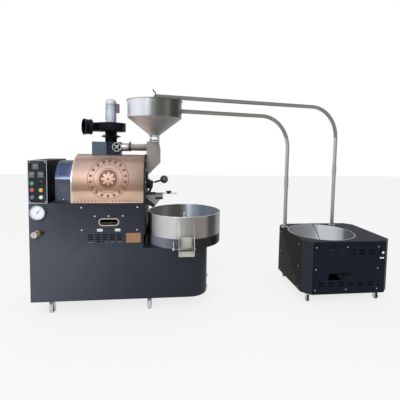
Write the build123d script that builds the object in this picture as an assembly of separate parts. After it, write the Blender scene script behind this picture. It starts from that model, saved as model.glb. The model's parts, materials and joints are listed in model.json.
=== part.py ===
from build123d import *
import math
import os

# Shop drum roaster for coffee with a cooling tray and a pneumatic bean loader.
# Millimetres. Machine datum: X = 0 at the cabinet's left side, Y = 0 at its front, Z = 0 the floor.
# Every piece is written shifted, so that the part's origin is under the middle of its box.

# ---------------------------------------------------------------- driving dimensions
SHEET = 2.5            # cabinet and cover sheet metal
FACE_GAP = 0.3         # between faces of two bodies
RUNNING = 0.05         # radial clearance of a shaft in its bearing

# roaster cabinet
CABINET_BOTTOM = 125
COUNTER_TOP = 920
DECK_TOP = 549
CABINET_DEPTH = 524
UPPER_LENGTH = 880     # the part under the drum
CABINET_LENGTH = UPPER_LENGTH + 545   # the lower part, which carries the cooling tray
CORNER_R = 160
PLATE_T = 3
RAIL = 40
RAIL_WALL = 3
COUNTER_X0 = 332       # the counter's opening under the drum starts here
PANEL_X0, PANEL_X1, PANEL_Z0, PANEL_Z1 = 380, UPPER_LENGTH - 20, 686, 902
WINDOW_X, WINDOW_Z, WINDOW_L, WINDOW_H = 609, 768, 146, 46
LOUVRE_X0, LOUVRE_Z0, LOUVRE_PITCH, LOUVRE_W, LOUVRE_SLOT = 445, 604, 56, 41, 9
SERVICE_X0, SERVICE_X1, SERVICE_Z0, SERVICE_Z1 = 60, UPPER_LENGTH - 60, 200, 860
WALL_GAP = 0.5         # round a stem that passes through the cabinet's wall
GAUGE_X, GAUGE_Z, GAUGE_R = 76, 852, 57
GAUGE_STEM_R = 10
VALVE_X, VALVE_Z = 55, 682
VALVE_STEM_R = 9
VALVE_FLANGE_R = 26
VALVE_FACE = -22

# control box and panel
PANEL_W = 142
PANEL_TOP = 1255
PANEL_T = 2
BOX_DEPTH = CABINET_DEPTH - 24
CONTROLLER = 48
INSTRUMENT_BODY = 45
INSTRUMENT_DEPTH = 60
BEZEL_PROUD = 6
BUTTON_R = 16
BUTTON_PROUD = 12
BUTTON_TRAVEL = 4
BUTTON_COLUMNS = (32, 98)
BUTTON_ROWS = (1077, 1025, 969)
BUTTON_HOLE_R = 11
BUTTON_STEM_R = 10.9
DISPLAY = (59, 1209)
CONTROLLERS = ((30, 1145), (97, 1145))

# drum, its housing and plates
FRONT_PLATE_MARGIN = 6  # the face casting stands this far outside the housing
HOUSING_X0 = 316
HOUSING_R = CABINET_DEPTH / 2 - FRONT_PLATE_MARGIN
COUNTER_HALF = HOUSING_R - 41
DRUM_R = HOUSING_R - 56
DRUM_WALL = 4
DRUM_X0 = 340
DRUM_X1 = UPPER_LENGTH - 18
SHAFT_R = 15
HOUSING_TOP = 1305
HOUSING_T = 3
FRONT_PLATE_T = 14
FRONT_PLATE_BOTTOM = 660
REAR_COVER_X0 = 192
REAR_COVER_TOP = 1248
REAR_COVER_HALF = HOUSING_R - 20
REAR_COVER_R = 150
BEARING_L = 43
BEARING_R = 42
FEED_HOLE = (1132, 1192)
SIGHT_Y, SIGHT_Z, SIGHT_R = CABINET_DEPTH / 2 - 140, 1120, 44
GEARBOX = (225, 300)

# bean door, chute, trier
DOOR_W = 136
DOOR_Z0 = 906
DOOR_Z1 = 964
DOOR_T = 6
DOOR_PIVOT_OUT = 40    # pivot axis in front of the front plate
DOOR_PIVOT_Z = 1060
ARM_T = 10
LUG_T = 12
PIN_R = 6
LEVER_R = 5
LEVER_GRIP_R = 8       # the thicker part of the lever, clear of the lugs
BALL_R = 35
CHUTE_INNER = 148
TRIER_R = 8
TRIER_Y = CABINET_DEPTH / 2 - 84
TRIER_Z = 976

# hopper, neck and feed chute
HOPPER_X = UPPER_LENGTH + 80
HOPPER_R = 235
HOPPER_WALL = 2
HOPPER_TOP = 1770
HOPPER_SHOULDER = 1625
NECK_R = 43
NECK_TOP = 1476
NECK_BOTTOM = 1420
BLADE_T = 3
BLADE_Z = 1448
FEED_W = 110
FEED_RIGHT = UPPER_LENGTH + 132

# exhaust
PLENUM_X0 = 437
PLENUM_X1 = 556
DAMPER_X1 = 674
PLENUM_TOP = 1412
PLENUM_W = 110
FAN_X = 587
FAN_NECK_R = 50
SCROLL_Z0 = 1500
SCROLL_Z1 = 1572
SCROLL_R = 125
OUTLET_R = 63
OUTLET_TURN = 30
FAN_MOTOR_R = 44
FAN_MOTOR_TOP = 1770
DIAL_R = 39
CHAFF_PIPE_R = 31
CHAFF_PIPE_Z = 1369
DIAL_X = 643
FAN_SHAFT_R = 8
IMPELLER_R = 100

# cooling tray
TRAY_X = UPPER_LENGTH + 348
TRAY_R = 322
TRAY_TOP = 812
TRAY_BASE_TOP = 632
TRAY_FLOOR = 575
TRAY_WALL = 3
GATE_X0 = TRAY_X - 60
GATE_X1 = TRAY_X + 60
GATE_TOP = 652
HINGE_Z = 555
LIP_DROP = 52
LIP_OUT = 45
STIRRER_SHAFT_R = 14
STIRRER_TOP = 788

# loader
LOADER_X0 = 2280
LOADER_Y0 = 28
LOADER_W = 830
LOADER_D = 714
LOADER_BOTTOM = 86
LOADER_TOP = 562
LOADER_CHAMFER = 72
BOWL_X = 2596
BOWL_Y = 384
BOWL_R = 309
BOWL_SHOULDER = 400
BOWL_OUTLET_R = 60
BOWL_OUTLET_Z = 250
LOADER_PANEL = (2362, 2984, 110, 532)
LOADER_SCREWS_X = (2380, 2670, 2966)
LOADER_SCREWS_Z = (514, 316, 128)
KNOB_X, KNOB_Z, KNOB_R = 3004, 461, 14
LAMPS = ((2992, 409), (3014, 409))

# conveying tubes
TUBE_R = 19
TUBE_WALL = 1.5
BEND_R = 310
LOWER_TUBE_Z = 1698
UPPER_TUBE_Z = 1815
LOWER_FOOT = (2305, 590)
UPPER_FOOT = (2862, 660)
COUPLING_R = 22
COUPLING_L = 96

# casters
ROASTER_CASTERS_X = (140, UPPER_LENGTH + 50)
ROASTER_CASTERS_Y = (80, CABINET_DEPTH - 80)
ROASTER_WHEEL_R = 45
LOADER_CASTERS_X = (2345, 3010)
LOADER_CASTERS_Y = (98, 672)
LOADER_WHEEL_R = 28
AXLE_R = 5

# ---------------------------------------------------------------- derived places
AXIS_Y = CABINET_DEPTH / 2
DRUM_Z = HOUSING_TOP - HOUSING_R
FRONT_X = UPPER_LENGTH + FRONT_PLATE_T
ARM_Y = BEARING_R + 3 + ARM_T / 2
LUG_Y = ARM_Y + ARM_T / 2 + FACE_GAP + LUG_T / 2
LOADER_X1 = LOADER_X0 + LOADER_W
LOADER_Y1 = LOADER_Y0 + LOADER_D
TRAY_FRONT = AXIS_Y - TRAY_R
HINGE_Y = TRAY_FRONT - 7
LIP_FRONT = TRAY_FRONT - LIP_OUT
ORIGIN_X = LOADER_X1 / 2
ORIGIN_Y = (LIP_FRONT + LOADER_Y1) / 2
LOW = (Align.CENTER, Align.CENTER, Align.MIN)


def block(x0, x1, y0, y1, z0, z1):
    return Pos(x0, y0, z0) * Box(x1 - x0, y1 - y0, z1 - z0, align=(Align.MIN,) * 3)


def rod_x(x0, x1, y, z, radius):
    return Pos(x0, y, z) * Rot(0, 90, 0) * Cylinder(radius, x1 - x0, align=LOW)


def rod_y(y0, y1, x, z, radius):
    return Pos(x, y0, z) * Rot(-90, 0, 0) * Cylinder(radius, y1 - y0, align=LOW)


def rod_z(z0, z1, x, y, radius):
    return Pos(x, y, z0) * Cylinder(radius, z1 - z0, align=LOW)


def ring_z(z0, z1, x, y, outer, inner):
    return rod_z(z0, z1, x, y, outer) - rod_z(z0 - 1, z1 + 1, x, y, inner)


def slab_xz(points, y0, y1):
    """A plate of outline points (x, z) between two depths."""
    face = make_face(Polyline(*[(x, 0, z) for x, z in points], close=True))
    return Pos(0, y0, 0) * extrude(face, y1 - y0, dir=(0, 1, 0))


def arch(x0, x1, radius, bottom):
    """A half round about the drum's axis on straight sides, along X."""
    y0, y1 = AXIS_Y - radius, AXIS_Y + radius
    crown = rod_x(x0, x1, AXIS_Y, DRUM_Z, radius) & block(x0, x1, y0, y1, DRUM_Z, DRUM_Z + radius)
    return crown + block(x0, x1, y0, y1, bottom, DRUM_Z)


def turned(points, x, y):
    """A body turned about the vertical through (x, y), from outline points (radius, z)."""
    face = make_face(Polyline(*[(r, 0, z) for r, z in points], close=True))
    return Pos(x, y, 0) * revolve(face, Axis.Z)


def write(node, *solids):
    """One sub-part to its own file, in the part's frame."""
    moved = [Pos(-ORIGIN_X, -ORIGIN_Y, 0) * s for s in solids]
    shape = moved[0] if len(moved) == 1 else Compound(children=moved)
    export_step(shape, f"parts/{node}.step")


def pan_screw(x, y, z, radius=5, proud=2.5):
    """A pan head that faces the front, its seat at depth y."""
    head = rod_y(y - proud, y, x, z, radius)
    return head - block(x - radius * 0.7, x + radius * 0.7, y - proud, y - proud * 0.5, z - 0.6, z + 0.6)


# ---------------------------------------------------------------- cabinet
def lower_plan(inset, z0, z1):
    """The lower cabinet's plan, with its right corners rounded."""
    plan = block(inset, CABINET_LENGTH - inset, inset, CABINET_DEPTH - inset, z0, z1)
    corners = plan.edges().filter_by(Axis.Z).group_by(Axis.X)[-1]
    return fillet(corners, CORNER_R - inset)


def cabinet_shell():
    lower_top = DECK_TOP - PLATE_T
    upper_top = COUNTER_TOP - PLATE_T
    outer = lower_plan(0, CABINET_BOTTOM, lower_top)
    outer += block(0, UPPER_LENGTH, 0, CABINET_DEPTH, lower_top, upper_top)
    inner = lower_plan(SHEET, CABINET_BOTTOM - 1, lower_top + 1)
    inner += block(SHEET, UPPER_LENGTH - SHEET, SHEET, CABINET_DEPTH - SHEET, lower_top, upper_top + 1)
    shell = outer - inner
    rim = 14
    shell -= block(PANEL_X0 + rim, PANEL_X1 - rim, -1, SHEET + 1, PANEL_Z0 + rim, PANEL_Z1 - rim)
    shell -= block(SERVICE_X0 + rim, SERVICE_X1 - rim, CABINET_DEPTH - SHEET - 1, CABINET_DEPTH + 1,
                   SERVICE_Z0 + rim, SERVICE_Z1 - rim)
    for column in range(5):
        x0 = LOUVRE_X0 + column * LOUVRE_PITCH
        for row in range(4):
            z0 = LOUVRE_Z0 + row * LOUVRE_SLOT * 2
            shell -= block(x0, x0 + LOUVRE_W, -1, SHEET + 1, z0, z0 + LOUVRE_SLOT)
    shell -= rod_y(-1, SHEET + 1, GAUGE_X, GAUGE_Z, GAUGE_STEM_R + WALL_GAP)
    shell -= rod_y(-1, SHEET + 1, VALVE_X, VALVE_Z, VALVE_STEM_R + WALL_GAP)
    return shell


def counter_plate():
    plate = block(0, UPPER_LENGTH, 0, CABINET_DEPTH, COUNTER_TOP - PLATE_T, COUNTER_TOP)
    return plate - block(COUNTER_X0, UPPER_LENGTH + 1, AXIS_Y - COUNTER_HALF, AXIS_Y + COUNTER_HALF,
                         COUNTER_TOP - PLATE_T - 1, COUNTER_TOP + 1)


def tray_deck():
    deck = lower_plan(0, DECK_TOP - PLATE_T, DECK_TOP)
    deck &= block(UPPER_LENGTH, CABINET_LENGTH + 1, -1, CABINET_DEPTH + 1, DECK_TOP - PLATE_T, DECK_TOP)
    deck -= rod_z(DECK_TOP - PLATE_T - 1, DECK_TOP + 1, TRAY_X, AXIS_Y, STIRRER_SHAFT_R + 6)
    for turn in range(4):
        angle = math.radians(45 + 90 * turn)
        x, y = TRAY_X + 125 * math.cos(angle), AXIS_Y + 125 * math.sin(angle)
        deck -= rod_z(DECK_TOP - PLATE_T - 1, DECK_TOP + 1, x, y, 42)
    return deck


def hollow_rail(x0, x1, y0, y1, z0, z1):
    """A square tube along its longer plan side."""
    w = RAIL_WALL
    if x1 - x0 > y1 - y0:
        return block(x0, x1, y0, y1, z0, z1) - block(x0 - 1, x1 + 1, y0 + w, y1 - w, z0 + w, z1 - w)
    return block(x0, x1, y0, y1, z0, z1) - block(x0 + w, x1 - w, y0 - 1, y1 + 1, z0 + w, z1 - w)


def base_frame():
    z0, z1 = CABINET_BOTTOM, CABINET_BOTTOM + RAIL
    end = CABINET_LENGTH - CORNER_R
    front, back = SHEET, CABINET_DEPTH - SHEET
    frame = hollow_rail(SHEET, end, front, front + RAIL, z0, z1)
    frame += hollow_rail(SHEET, end, back - RAIL, back, z0, z1)
    for x in ROASTER_CASTERS_X + (end - RAIL / 2,):
        frame += hollow_rail(x - RAIL / 2, x + RAIL / 2, front + RAIL, back - RAIL, z0, z1)
    for x in ROASTER_CASTERS_X:
        for y in ROASTER_CASTERS_Y:
            plate_half = 42
            seat = block(x - plate_half, x + plate_half, y - plate_half, y + plate_half,
                         CABINET_BOTTOM - PLATE_T, CABINET_BOTTOM)
            frame += seat & block(-1, end, SHEET, back, 0, CABINET_BOTTOM)
    return frame


def burner_panel():
    """The panel in the four straight pieces that frame its viewing window."""
    plate = block(PANEL_X0, PANEL_X1, -PANEL_T, 0, PANEL_Z0, PANEL_Z1)
    plate -= slot_plate(WINDOW_L, WINDOW_H, -PANEL_T - 1, 1)
    half = (WINDOW_L - WINDOW_H) / 2
    return framing(plate, WINDOW_X - half, WINDOW_X + half, WINDOW_Z)


def framing(plate, x0, x1, z):
    """An upright plate parted left and right of an opening, and over and under it."""
    far = 4000
    return [plate & block(-far, x0, -far, far, 0, far), plate & block(x1, far, -far, far, 0, far),
            plate & block(x0, x1, -far, far, z, far), plate & block(x0, x1, -far, far, 0, z)]


def slot_plate(length, height, y0, y1):
    """A plate with round ends at the viewing window's place."""
    half = length / 2 - height / 2
    body = block(WINDOW_X - half, WINDOW_X + half, y0, y1, WINDOW_Z - height / 2, WINDOW_Z + height / 2)
    for side in (-1, 1):
        body += rod_y(y0, y1, WINDOW_X + side * half, WINDOW_Z, height / 2)
    return body


def window_ring():
    lip, proud = 8, 5
    outer = slot_plate(WINDOW_L + 2 * lip, WINDOW_H + 2 * lip, -PANEL_T - proud, -PANEL_T)
    ring = outer - slot_plate(WINDOW_L, WINDOW_H, -PANEL_T - proud - 1, 1)
    half = (WINDOW_L - WINDOW_H) / 2
    return framing(ring, WINDOW_X - half, WINDOW_X + half, WINDOW_Z)


def panel_fittings():
    """Panel screws, two small plates under the window and the plate beside the louvres."""
    corners = [(PANEL_X0 + 16, PANEL_Z1 - 16), (PANEL_X1 - 28, PANEL_Z1 - 14),
               (PANEL_X0 + 18, PANEL_Z0 + 20), (PANEL_X1 - 29, PANEL_Z0 + 18)]
    middle = [(WINDOW_X - 110, 817), (WINDOW_X - 3, 817), (WINDOW_X + 108, 818)]
    pieces = [pan_screw(x, -PANEL_T, z, 6, 3) for x, z in corners + middle]
    plate_w, plate_h, plate_z = 43, 22, PANEL_Z0 + 6
    for x in (WINDOW_X - 93, WINDOW_X + 46):
        pieces.append(block(x, x + plate_w, -PANEL_T - 1, -PANEL_T, plate_z, plate_z + plate_h))
    pieces.append(block(PANEL_X1 - 116, PANEL_X1 - 2, -1, 0, PANEL_Z0 - 88, PANEL_Z0 - 10))
    return pieces


def pressure_gauge():
    case_depth, bezel_depth, wall = 30, 8, 5
    case = rod_y(-case_depth, 0, GAUGE_X, GAUGE_Z, GAUGE_R - wall)
    bezel = rod_y(-case_depth - bezel_depth, -case_depth + 2, GAUGE_X, GAUGE_Z, GAUGE_R)
    recess = rod_y(-case_depth - bezel_depth - 1, -case_depth, GAUGE_X, GAUGE_Z, GAUGE_R - wall)
    stem = rod_y(0, 40, GAUGE_X, GAUGE_Z, GAUGE_STEM_R)
    needle = block(GAUGE_X - 1, GAUGE_X + 1, -case_depth - 2, -case_depth, GAUGE_Z, GAUGE_Z + 36)
    return case + bezel - recess + stem + needle


def gas_valve():
    flange = rod_y(-6, 0, VALVE_X, VALVE_Z, VALVE_FLANGE_R)
    barrel = rod_y(VALVE_FACE, -6, VALVE_X, VALVE_Z, 17)
    branch = rod_x(VALVE_X + 10, VALVE_X + 46, -14, VALVE_Z + 6, 8)
    cap = rod_x(VALVE_X + 40, VALVE_X + 56, -14, VALVE_Z + 6, 13)
    stem = rod_y(0, 60, VALVE_X, VALVE_Z, VALVE_STEM_R)
    return flange + barrel + branch + cap + stem


def gas_valve_knob():
    grip_r, grip_l, hub_r = 25, 22, 12
    front = VALVE_FACE - FACE_GAP
    knob = rod_y(front - 8, front, VALVE_X, VALVE_Z, hub_r)
    grip = rod_y(front - 8 - grip_l, front - 8, VALVE_X, VALVE_Z, grip_r)
    for turn in range(8):
        angle = math.radians(45 * turn)
        grip -= rod_y(front - 40, front - 8, VALVE_X + (grip_r + 3) * math.cos(angle),
                      VALVE_Z + (grip_r + 3) * math.sin(angle), 6)
    pointer = block(VALVE_X - 1.5, VALVE_X + 1.5, front - 9 - grip_l, front - 8 - grip_l,
                    VALVE_Z, VALVE_Z + grip_r - 4)
    return knob + grip + pointer


def gas_burner():
    """Three flame tubes on a manifold, carried by two bars between the cabinet's walls."""
    tube_r, tube_z, x0, x1 = 17, 738, 430, UPPER_LENGTH - 40
    rows = (AXIS_Y - 110, AXIS_Y, AXIS_Y + 110)
    burner = block(x0 - 30, x0, rows[0] - 24, rows[2] + 24, tube_z - 18, tube_z + 18)
    for y in rows:
        burner += rod_x(x0 - 5, x1, y, tube_z, tube_r)
        for step in range(12):
            burner += rod_z(tube_z + tube_r - 2, tube_z + tube_r + 5, x0 + 30 + 32 * step, y, 6)
    for x in (x0 + 20, x1 - 40):
        burner += block(x, x + 20, SHEET, CABINET_DEPTH - SHEET, tube_z - tube_r - 12, tube_z - tube_r + 1)
    return burner


def gas_pipe():
    """The pipe from the valve's stem along the cabinet to the burner's manifold."""
    z, radius, start_y = VALVE_Z, 9, 60
    manifold_x, manifold_z = 400, 738
    run_y = AXIS_Y - 60
    route = FilletPolyline((VALVE_X, start_y, z), (VALVE_X, run_y, z), (VALVE_X + 200, run_y, z),
                           (VALVE_X + 200, run_y, manifold_z), (manifold_x, run_y, manifold_z), radius=24)
    return sweep(Plane(origin=(VALVE_X, start_y, z), z_dir=(0, 1, 0)) * Circle(radius), path=route)


def service_panel():
    back = CABINET_DEPTH
    panel = block(SERVICE_X0, SERVICE_X1, back, back + PANEL_T, SERVICE_Z0, SERVICE_Z1)
    for row in range(9):
        z0 = SERVICE_Z0 + 70 + row * 22
        for x0 in (SERVICE_X0 + 120, SERVICE_X0 + 420):
            panel -= block(x0, x0 + 220, back - 1, back + PANEL_T + 1, z0, z0 + LOUVRE_SLOT)
    for x in (SERVICE_X0 + 7, (SERVICE_X0 + SERVICE_X1) / 2, SERVICE_X1 - 7):
        for z in (SERVICE_Z0 + 7, SERVICE_Z1 - 7):
            panel += rod_y(back + PANEL_T, back + PANEL_T + 2.5, x, z, 5)
    return panel


# ---------------------------------------------------------------- control box and panel
def control_box():
    outer = block(0, PANEL_W, 0, BOX_DEPTH, COUNTER_TOP, PANEL_TOP)
    box = outer - block(SHEET, PANEL_W - SHEET, -1, BOX_DEPTH - SHEET, COUNTER_TOP + SHEET, PANEL_TOP - SHEET)
    for row in range(8):
        z0 = COUNTER_TOP + 70 + row * 18
        box -= block(30, PANEL_W - 30, BOX_DEPTH - SHEET - 1, BOX_DEPTH + 1, z0, z0 + 6)
    return box


def control_panel():
    """The face plate with its raised light frame."""
    frame_w, frame_t = 5, 2
    plate = block(0, PANEL_W, -PANEL_T, 0, COUNTER_TOP, PANEL_TOP)
    frame = block(0, PANEL_W, -PANEL_T - frame_t, -PANEL_T, COUNTER_TOP, PANEL_TOP)
    frame -= block(frame_w, PANEL_W - frame_w, -PANEL_T - frame_t - 1, 1,
                   COUNTER_TOP + frame_w, PANEL_TOP - frame_w)
    panel = plate + frame
    half = INSTRUMENT_BODY / 2
    for x, z in (DISPLAY,) + CONTROLLERS:
        panel -= block(x - half, x + half, -PANEL_T - 1, 1, z - half, z + half)
    for x in BUTTON_COLUMNS:
        for z in BUTTON_ROWS:
            panel -= rod_y(-PANEL_T - 1, 1, x, z, BUTTON_HOLE_R)
    for x in (14, PANEL_W - 14):
        for z in (COUNTER_TOP + 14, PANEL_TOP - 14):
            panel += pan_screw(x, -PANEL_T, z, 4, 2)
    return panel


def instrument(x, z):
    half, body = CONTROLLER / 2, INSTRUMENT_BODY / 2
    bezel = block(x - half, x + half, -PANEL_T - BEZEL_PROUD, -PANEL_T, z - half, z + half)
    bezel -= block(x - half + 4, x + half - 4, -PANEL_T - BEZEL_PROUD - 1, -PANEL_T - BEZEL_PROUD + 1.5,
                   z - half + 4, z + half - 4)
    return bezel + block(x - body, x + body, -PANEL_T, INSTRUMENT_DEPTH, z - body, z + body)


def push_button(x, z):
    """A round cap on a stem that slides in the panel's hole."""
    gap = BUTTON_TRAVEL + FACE_GAP
    cap = rod_y(-PANEL_T - gap - BUTTON_PROUD, -PANEL_T - gap, x, z, BUTTON_R)
    cap = fillet(cap.edges().sort_by(Axis.Y)[0], 2)
    return cap + rod_y(-PANEL_T - gap, 30, x, z, BUTTON_STEM_R)


def selector(x, z):
    """A turning cap with a raised grip bar."""
    cap = rod_y(-PANEL_T - FACE_GAP - BUTTON_PROUD, -PANEL_T - FACE_GAP, x, z, BUTTON_R)
    front = -PANEL_T - FACE_GAP - BUTTON_PROUD
    grip = block(x - 4, x + 4, front - 9, front, z - BUTTON_R + 2, z + BUTTON_R - 2)
    return cap + grip + rod_y(-PANEL_T - FACE_GAP, 30, x, z, BUTTON_STEM_R)


# ---------------------------------------------------------------- drum and housing
def drum_housing():
    shell = arch(HOUSING_X0, UPPER_LENGTH, HOUSING_R, COUNTER_TOP)
    shell -= arch(HOUSING_X0 + HOUSING_T, UPPER_LENGTH + 1, HOUSING_R - HOUSING_T, COUNTER_TOP - 1)
    shell -= rod_x(HOUSING_X0 - 1, HOUSING_X0 + HOUSING_T + 1, AXIS_Y, DRUM_Z, SHAFT_R + 3)
    shell -= rod_z(DRUM_Z, HOUSING_TOP + 1, (PLENUM_X0 + PLENUM_X1) / 2, AXIS_Y, 40)
    holes, pitch, first = 20, 27, HOUSING_X0 + 24
    for number in range(holes):
        x = first + number * pitch
        shell -= rod_y(AXIS_Y - HOUSING_R - 1, AXIS_Y - HOUSING_R + HOUSING_T + 1, x, COUNTER_TOP + 9, 4)
    return shell


def rounded_hood(x0, x1, half, top, radius, bottom):
    hood = block(x0, x1, AXIS_Y - half, AXIS_Y + half, bottom, top)
    crown = hood.edges().filter_by(Axis.X).group_by(Axis.Z)[-1]
    return fillet(crown, radius)


def drum_rear_cover():
    hood = rounded_hood(REAR_COVER_X0, HOUSING_X0, REAR_COVER_HALF, REAR_COVER_TOP, REAR_COVER_R, COUNTER_TOP)
    hood -= rounded_hood(REAR_COVER_X0 + SHEET, HOUSING_X0 + 1, REAR_COVER_HALF - SHEET,
                         REAR_COVER_TOP - SHEET, REAR_COVER_R - SHEET, COUNTER_TOP - 1)
    front = AXIS_Y - REAR_COVER_HALF
    for row in range(6):
        z0 = REAR_COVER_TOP - 112 + row * 16
        hood -= block(REAR_COVER_X0 + 26, HOUSING_X0 - 26, front - 1, front + 90, z0, z0 + 4)
    return hood + pan_screw((REAR_COVER_X0 + HOUSING_X0) / 2, front, COUNTER_TOP + 26, 5, 2.5)


def front_plate():
    """The drum's face casting, bolted to the cabinet's side, with its door lugs."""
    plate = arch(UPPER_LENGTH, FRONT_X, HOUSING_R + FRONT_PLATE_MARGIN, FRONT_PLATE_BOTTOM)
    plate -= rod_x(UPPER_LENGTH - 1, FRONT_X + 1, AXIS_Y, DRUM_Z, SHAFT_R + 3)
    plate -= block(UPPER_LENGTH - 1, FRONT_X + 1, AXIS_Y - DOOR_W / 2 + 8, AXIS_Y + DOOR_W / 2 - 8,
                   DOOR_Z0 + 8, DOOR_Z1 - 8)
    plate -= block(UPPER_LENGTH - 1, FRONT_X + 1, AXIS_Y - FEED_W / 2 + 12, AXIS_Y + FEED_W / 2 - 12,
                   FEED_HOLE[0], FEED_HOLE[1])
    plate -= rod_x(UPPER_LENGTH - 1, FRONT_X + 1, SIGHT_Y, SIGHT_Z, SIGHT_R - 10)
    plate -= rod_x(UPPER_LENGTH - 1, FRONT_X + 1, TRIER_Y, TRIER_Z, TRIER_R + RUNNING)
    for degrees in (8, 33, 58, 122, 147, 172):
        angle = math.radians(degrees)
        reach = HOUSING_R - 8
        plate += rod_x(FRONT_X, FRONT_X + 6, AXIS_Y + reach * math.cos(angle),
                       DRUM_Z + reach * math.sin(angle), 7)
    pivot_x = FRONT_X + DOOR_PIVOT_OUT
    for side in (-1, 1):
        y = AXIS_Y + side * LUG_Y
        half = LUG_T / 2
        lug = block(FRONT_X, pivot_x, y - half, y + half, DOOR_PIVOT_Z - 14, DOOR_PIVOT_Z + 14)
        lug += rod_y(y - half, y + half, pivot_x, DOOR_PIVOT_Z, 14)
        plate += lug - rod_y(y - half - 1, y + half + 1, pivot_x, DOOR_PIVOT_Z, PIN_R + RUNNING)
    return plate


def sight_glass():
    ring = rod_x(FRONT_X, FRONT_X + 9, SIGHT_Y, SIGHT_Z, SIGHT_R)
    ring -= rod_x(FRONT_X + 4, FRONT_X + 10, SIGHT_Y, SIGHT_Z, SIGHT_R - 9)
    return ring


def drum_bearings():
    front = rod_x(FRONT_X, FRONT_X + BEARING_L - 13, AXIS_Y, DRUM_Z, BEARING_R)
    front += rod_x(FRONT_X, FRONT_X + BEARING_L, AXIS_Y, DRUM_Z, BEARING_R - 14)
    front -= rod_x(FRONT_X - 1, FRONT_X + BEARING_L - 8, AXIS_Y, DRUM_Z, SHAFT_R + RUNNING)
    rear = rod_x(HOUSING_X0 - 12, HOUSING_X0, AXIS_Y, DRUM_Z, BEARING_R)
    rear -= rod_x(HOUSING_X0 - 13, HOUSING_X0 + 1, AXIS_Y, DRUM_Z, SHAFT_R + RUNNING)
    return [front, rear]


def roasting_drum():
    """The turning drum: shell, spoked ends, mixing flights and its through shaft."""
    drum = rod_x(DRUM_X0, DRUM_X1, AXIS_Y, DRUM_Z, DRUM_R)
    drum -= rod_x(DRUM_X0 + DRUM_WALL, DRUM_X1 + 1, AXIS_Y, DRUM_Z, DRUM_R - DRUM_WALL)
    lip_r = DRUM_R - 46
    lip = rod_x(DRUM_X1 - DRUM_WALL, DRUM_X1, AXIS_Y, DRUM_Z, DRUM_R)
    drum += lip - rod_x(DRUM_X1 - DRUM_WALL - 1, DRUM_X1 + 1, AXIS_Y, DRUM_Z, lip_r)
    inner = DRUM_R - DRUM_WALL
    for number in range(6):
        flight = block(-215, 215, inner - 34, inner + 1, -2, 2)
        turn = Pos((DRUM_X0 + DRUM_X1) / 2, AXIS_Y, DRUM_Z) * Rot(60 * number, 0, 0) * Rot(0, 10, 0)
        drum += (turn * flight) & rod_x(DRUM_X0 + 2, DRUM_X1 - 2, AXIS_Y, DRUM_Z, DRUM_R - 1)
    spoke_x = DRUM_X1 - 24
    for number in range(3):
        spoke = block(-6, 6, 0, inner + 1, -9, 9)
        drum += Pos(spoke_x, AXIS_Y, DRUM_Z) * Rot(120 * number, 0, 0) * spoke
    shaft_end = FRONT_X + BEARING_L - 8 - FACE_GAP
    return drum + rod_x(GEARBOX[0] - 10, shaft_end, AXIS_Y, DRUM_Z, SHAFT_R)


def drum_gearmotor():
    """A hollow-shaft gearbox on a foot, with its motor lying to the back."""
    x0, x1 = GEARBOX
    half, motor_r, motor_l = 62, 52, 150
    box = block(x0, x1, AXIS_Y - half, AXIS_Y + half, DRUM_Z - half, DRUM_Z + half)
    box = fillet(box.edges().filter_by(Axis.X), 14)
    foot = block(x0 + 5, x1 - 5, AXIS_Y - half + 8, AXIS_Y + half - 8, COUNTER_TOP, DRUM_Z - half)
    motor = rod_y(AXIS_Y + half, AXIS_Y + half + motor_l, (x0 + x1) / 2, DRUM_Z, motor_r)
    body = box + foot + motor
    return body - rod_x(x0 - 1, x1 + 1, AXIS_Y, DRUM_Z, SHAFT_R + RUNNING)


# ---------------------------------------------------------------- door, chute, trier, shelf
def bean_door():
    """Door plate, drop arm, pin and the lever with its ball, all one moving piece."""
    x, z = FRONT_X + DOOR_PIVOT_OUT, DOOR_PIVOT_Z
    face = FRONT_X + FACE_GAP
    door = block(face, face + DOOR_T, AXIS_Y - DOOR_W / 2, AXIS_Y + DOOR_W / 2, DOOR_Z0, DOOR_Z1)
    pieces = door
    for side in (-1, 1):
        y = AXIS_Y + side * ARM_Y
        stub_end = AXIS_Y + side * (LUG_Y + LUG_T / 2)
        arm_outline = [(x - 12, z + 8), (x + 12, z + 8), (x + 12, z - 40), (face + DOOR_T + 14, DOOR_Z1 - 10),
                       (face + DOOR_T + 14, DOOR_Z0 + 14), (face + DOOR_T, DOOR_Z0 + 14),
                       (face + DOOR_T, DOOR_Z1 + 4), (x - 12, z - 40)]
        pieces += slab_xz(arm_outline, y - ARM_T / 2, y + ARM_T / 2)
        pieces += rod_y(min(y, stub_end), max(y, stub_end), x, z, PIN_R)
    pieces += block(face + DOOR_T - 1, face + DOOR_T + 12, AXIS_Y - ARM_Y, AXIS_Y + ARM_Y,
                    DOOR_Z0 + 30, DOOR_Z0 + 42)
    lever_y = AXIS_Y - ARM_Y
    reach, rise = 112, 34
    length = math.hypot(reach, rise)
    tilt = math.degrees(math.atan2(rise, reach))
    along = Pos(x, lever_y, z) * Rot(0, 90 - tilt, 0)
    lever = along * Cylinder(LEVER_R, length, align=LOW)
    lever += along * Pos(0, 0, 32) * Cylinder(LEVER_GRIP_R, length - 40, align=LOW)
    ball = Pos(x + reach, lever_y, z + rise) * Sphere(BALL_R)
    return pieces + lever + ball


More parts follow.
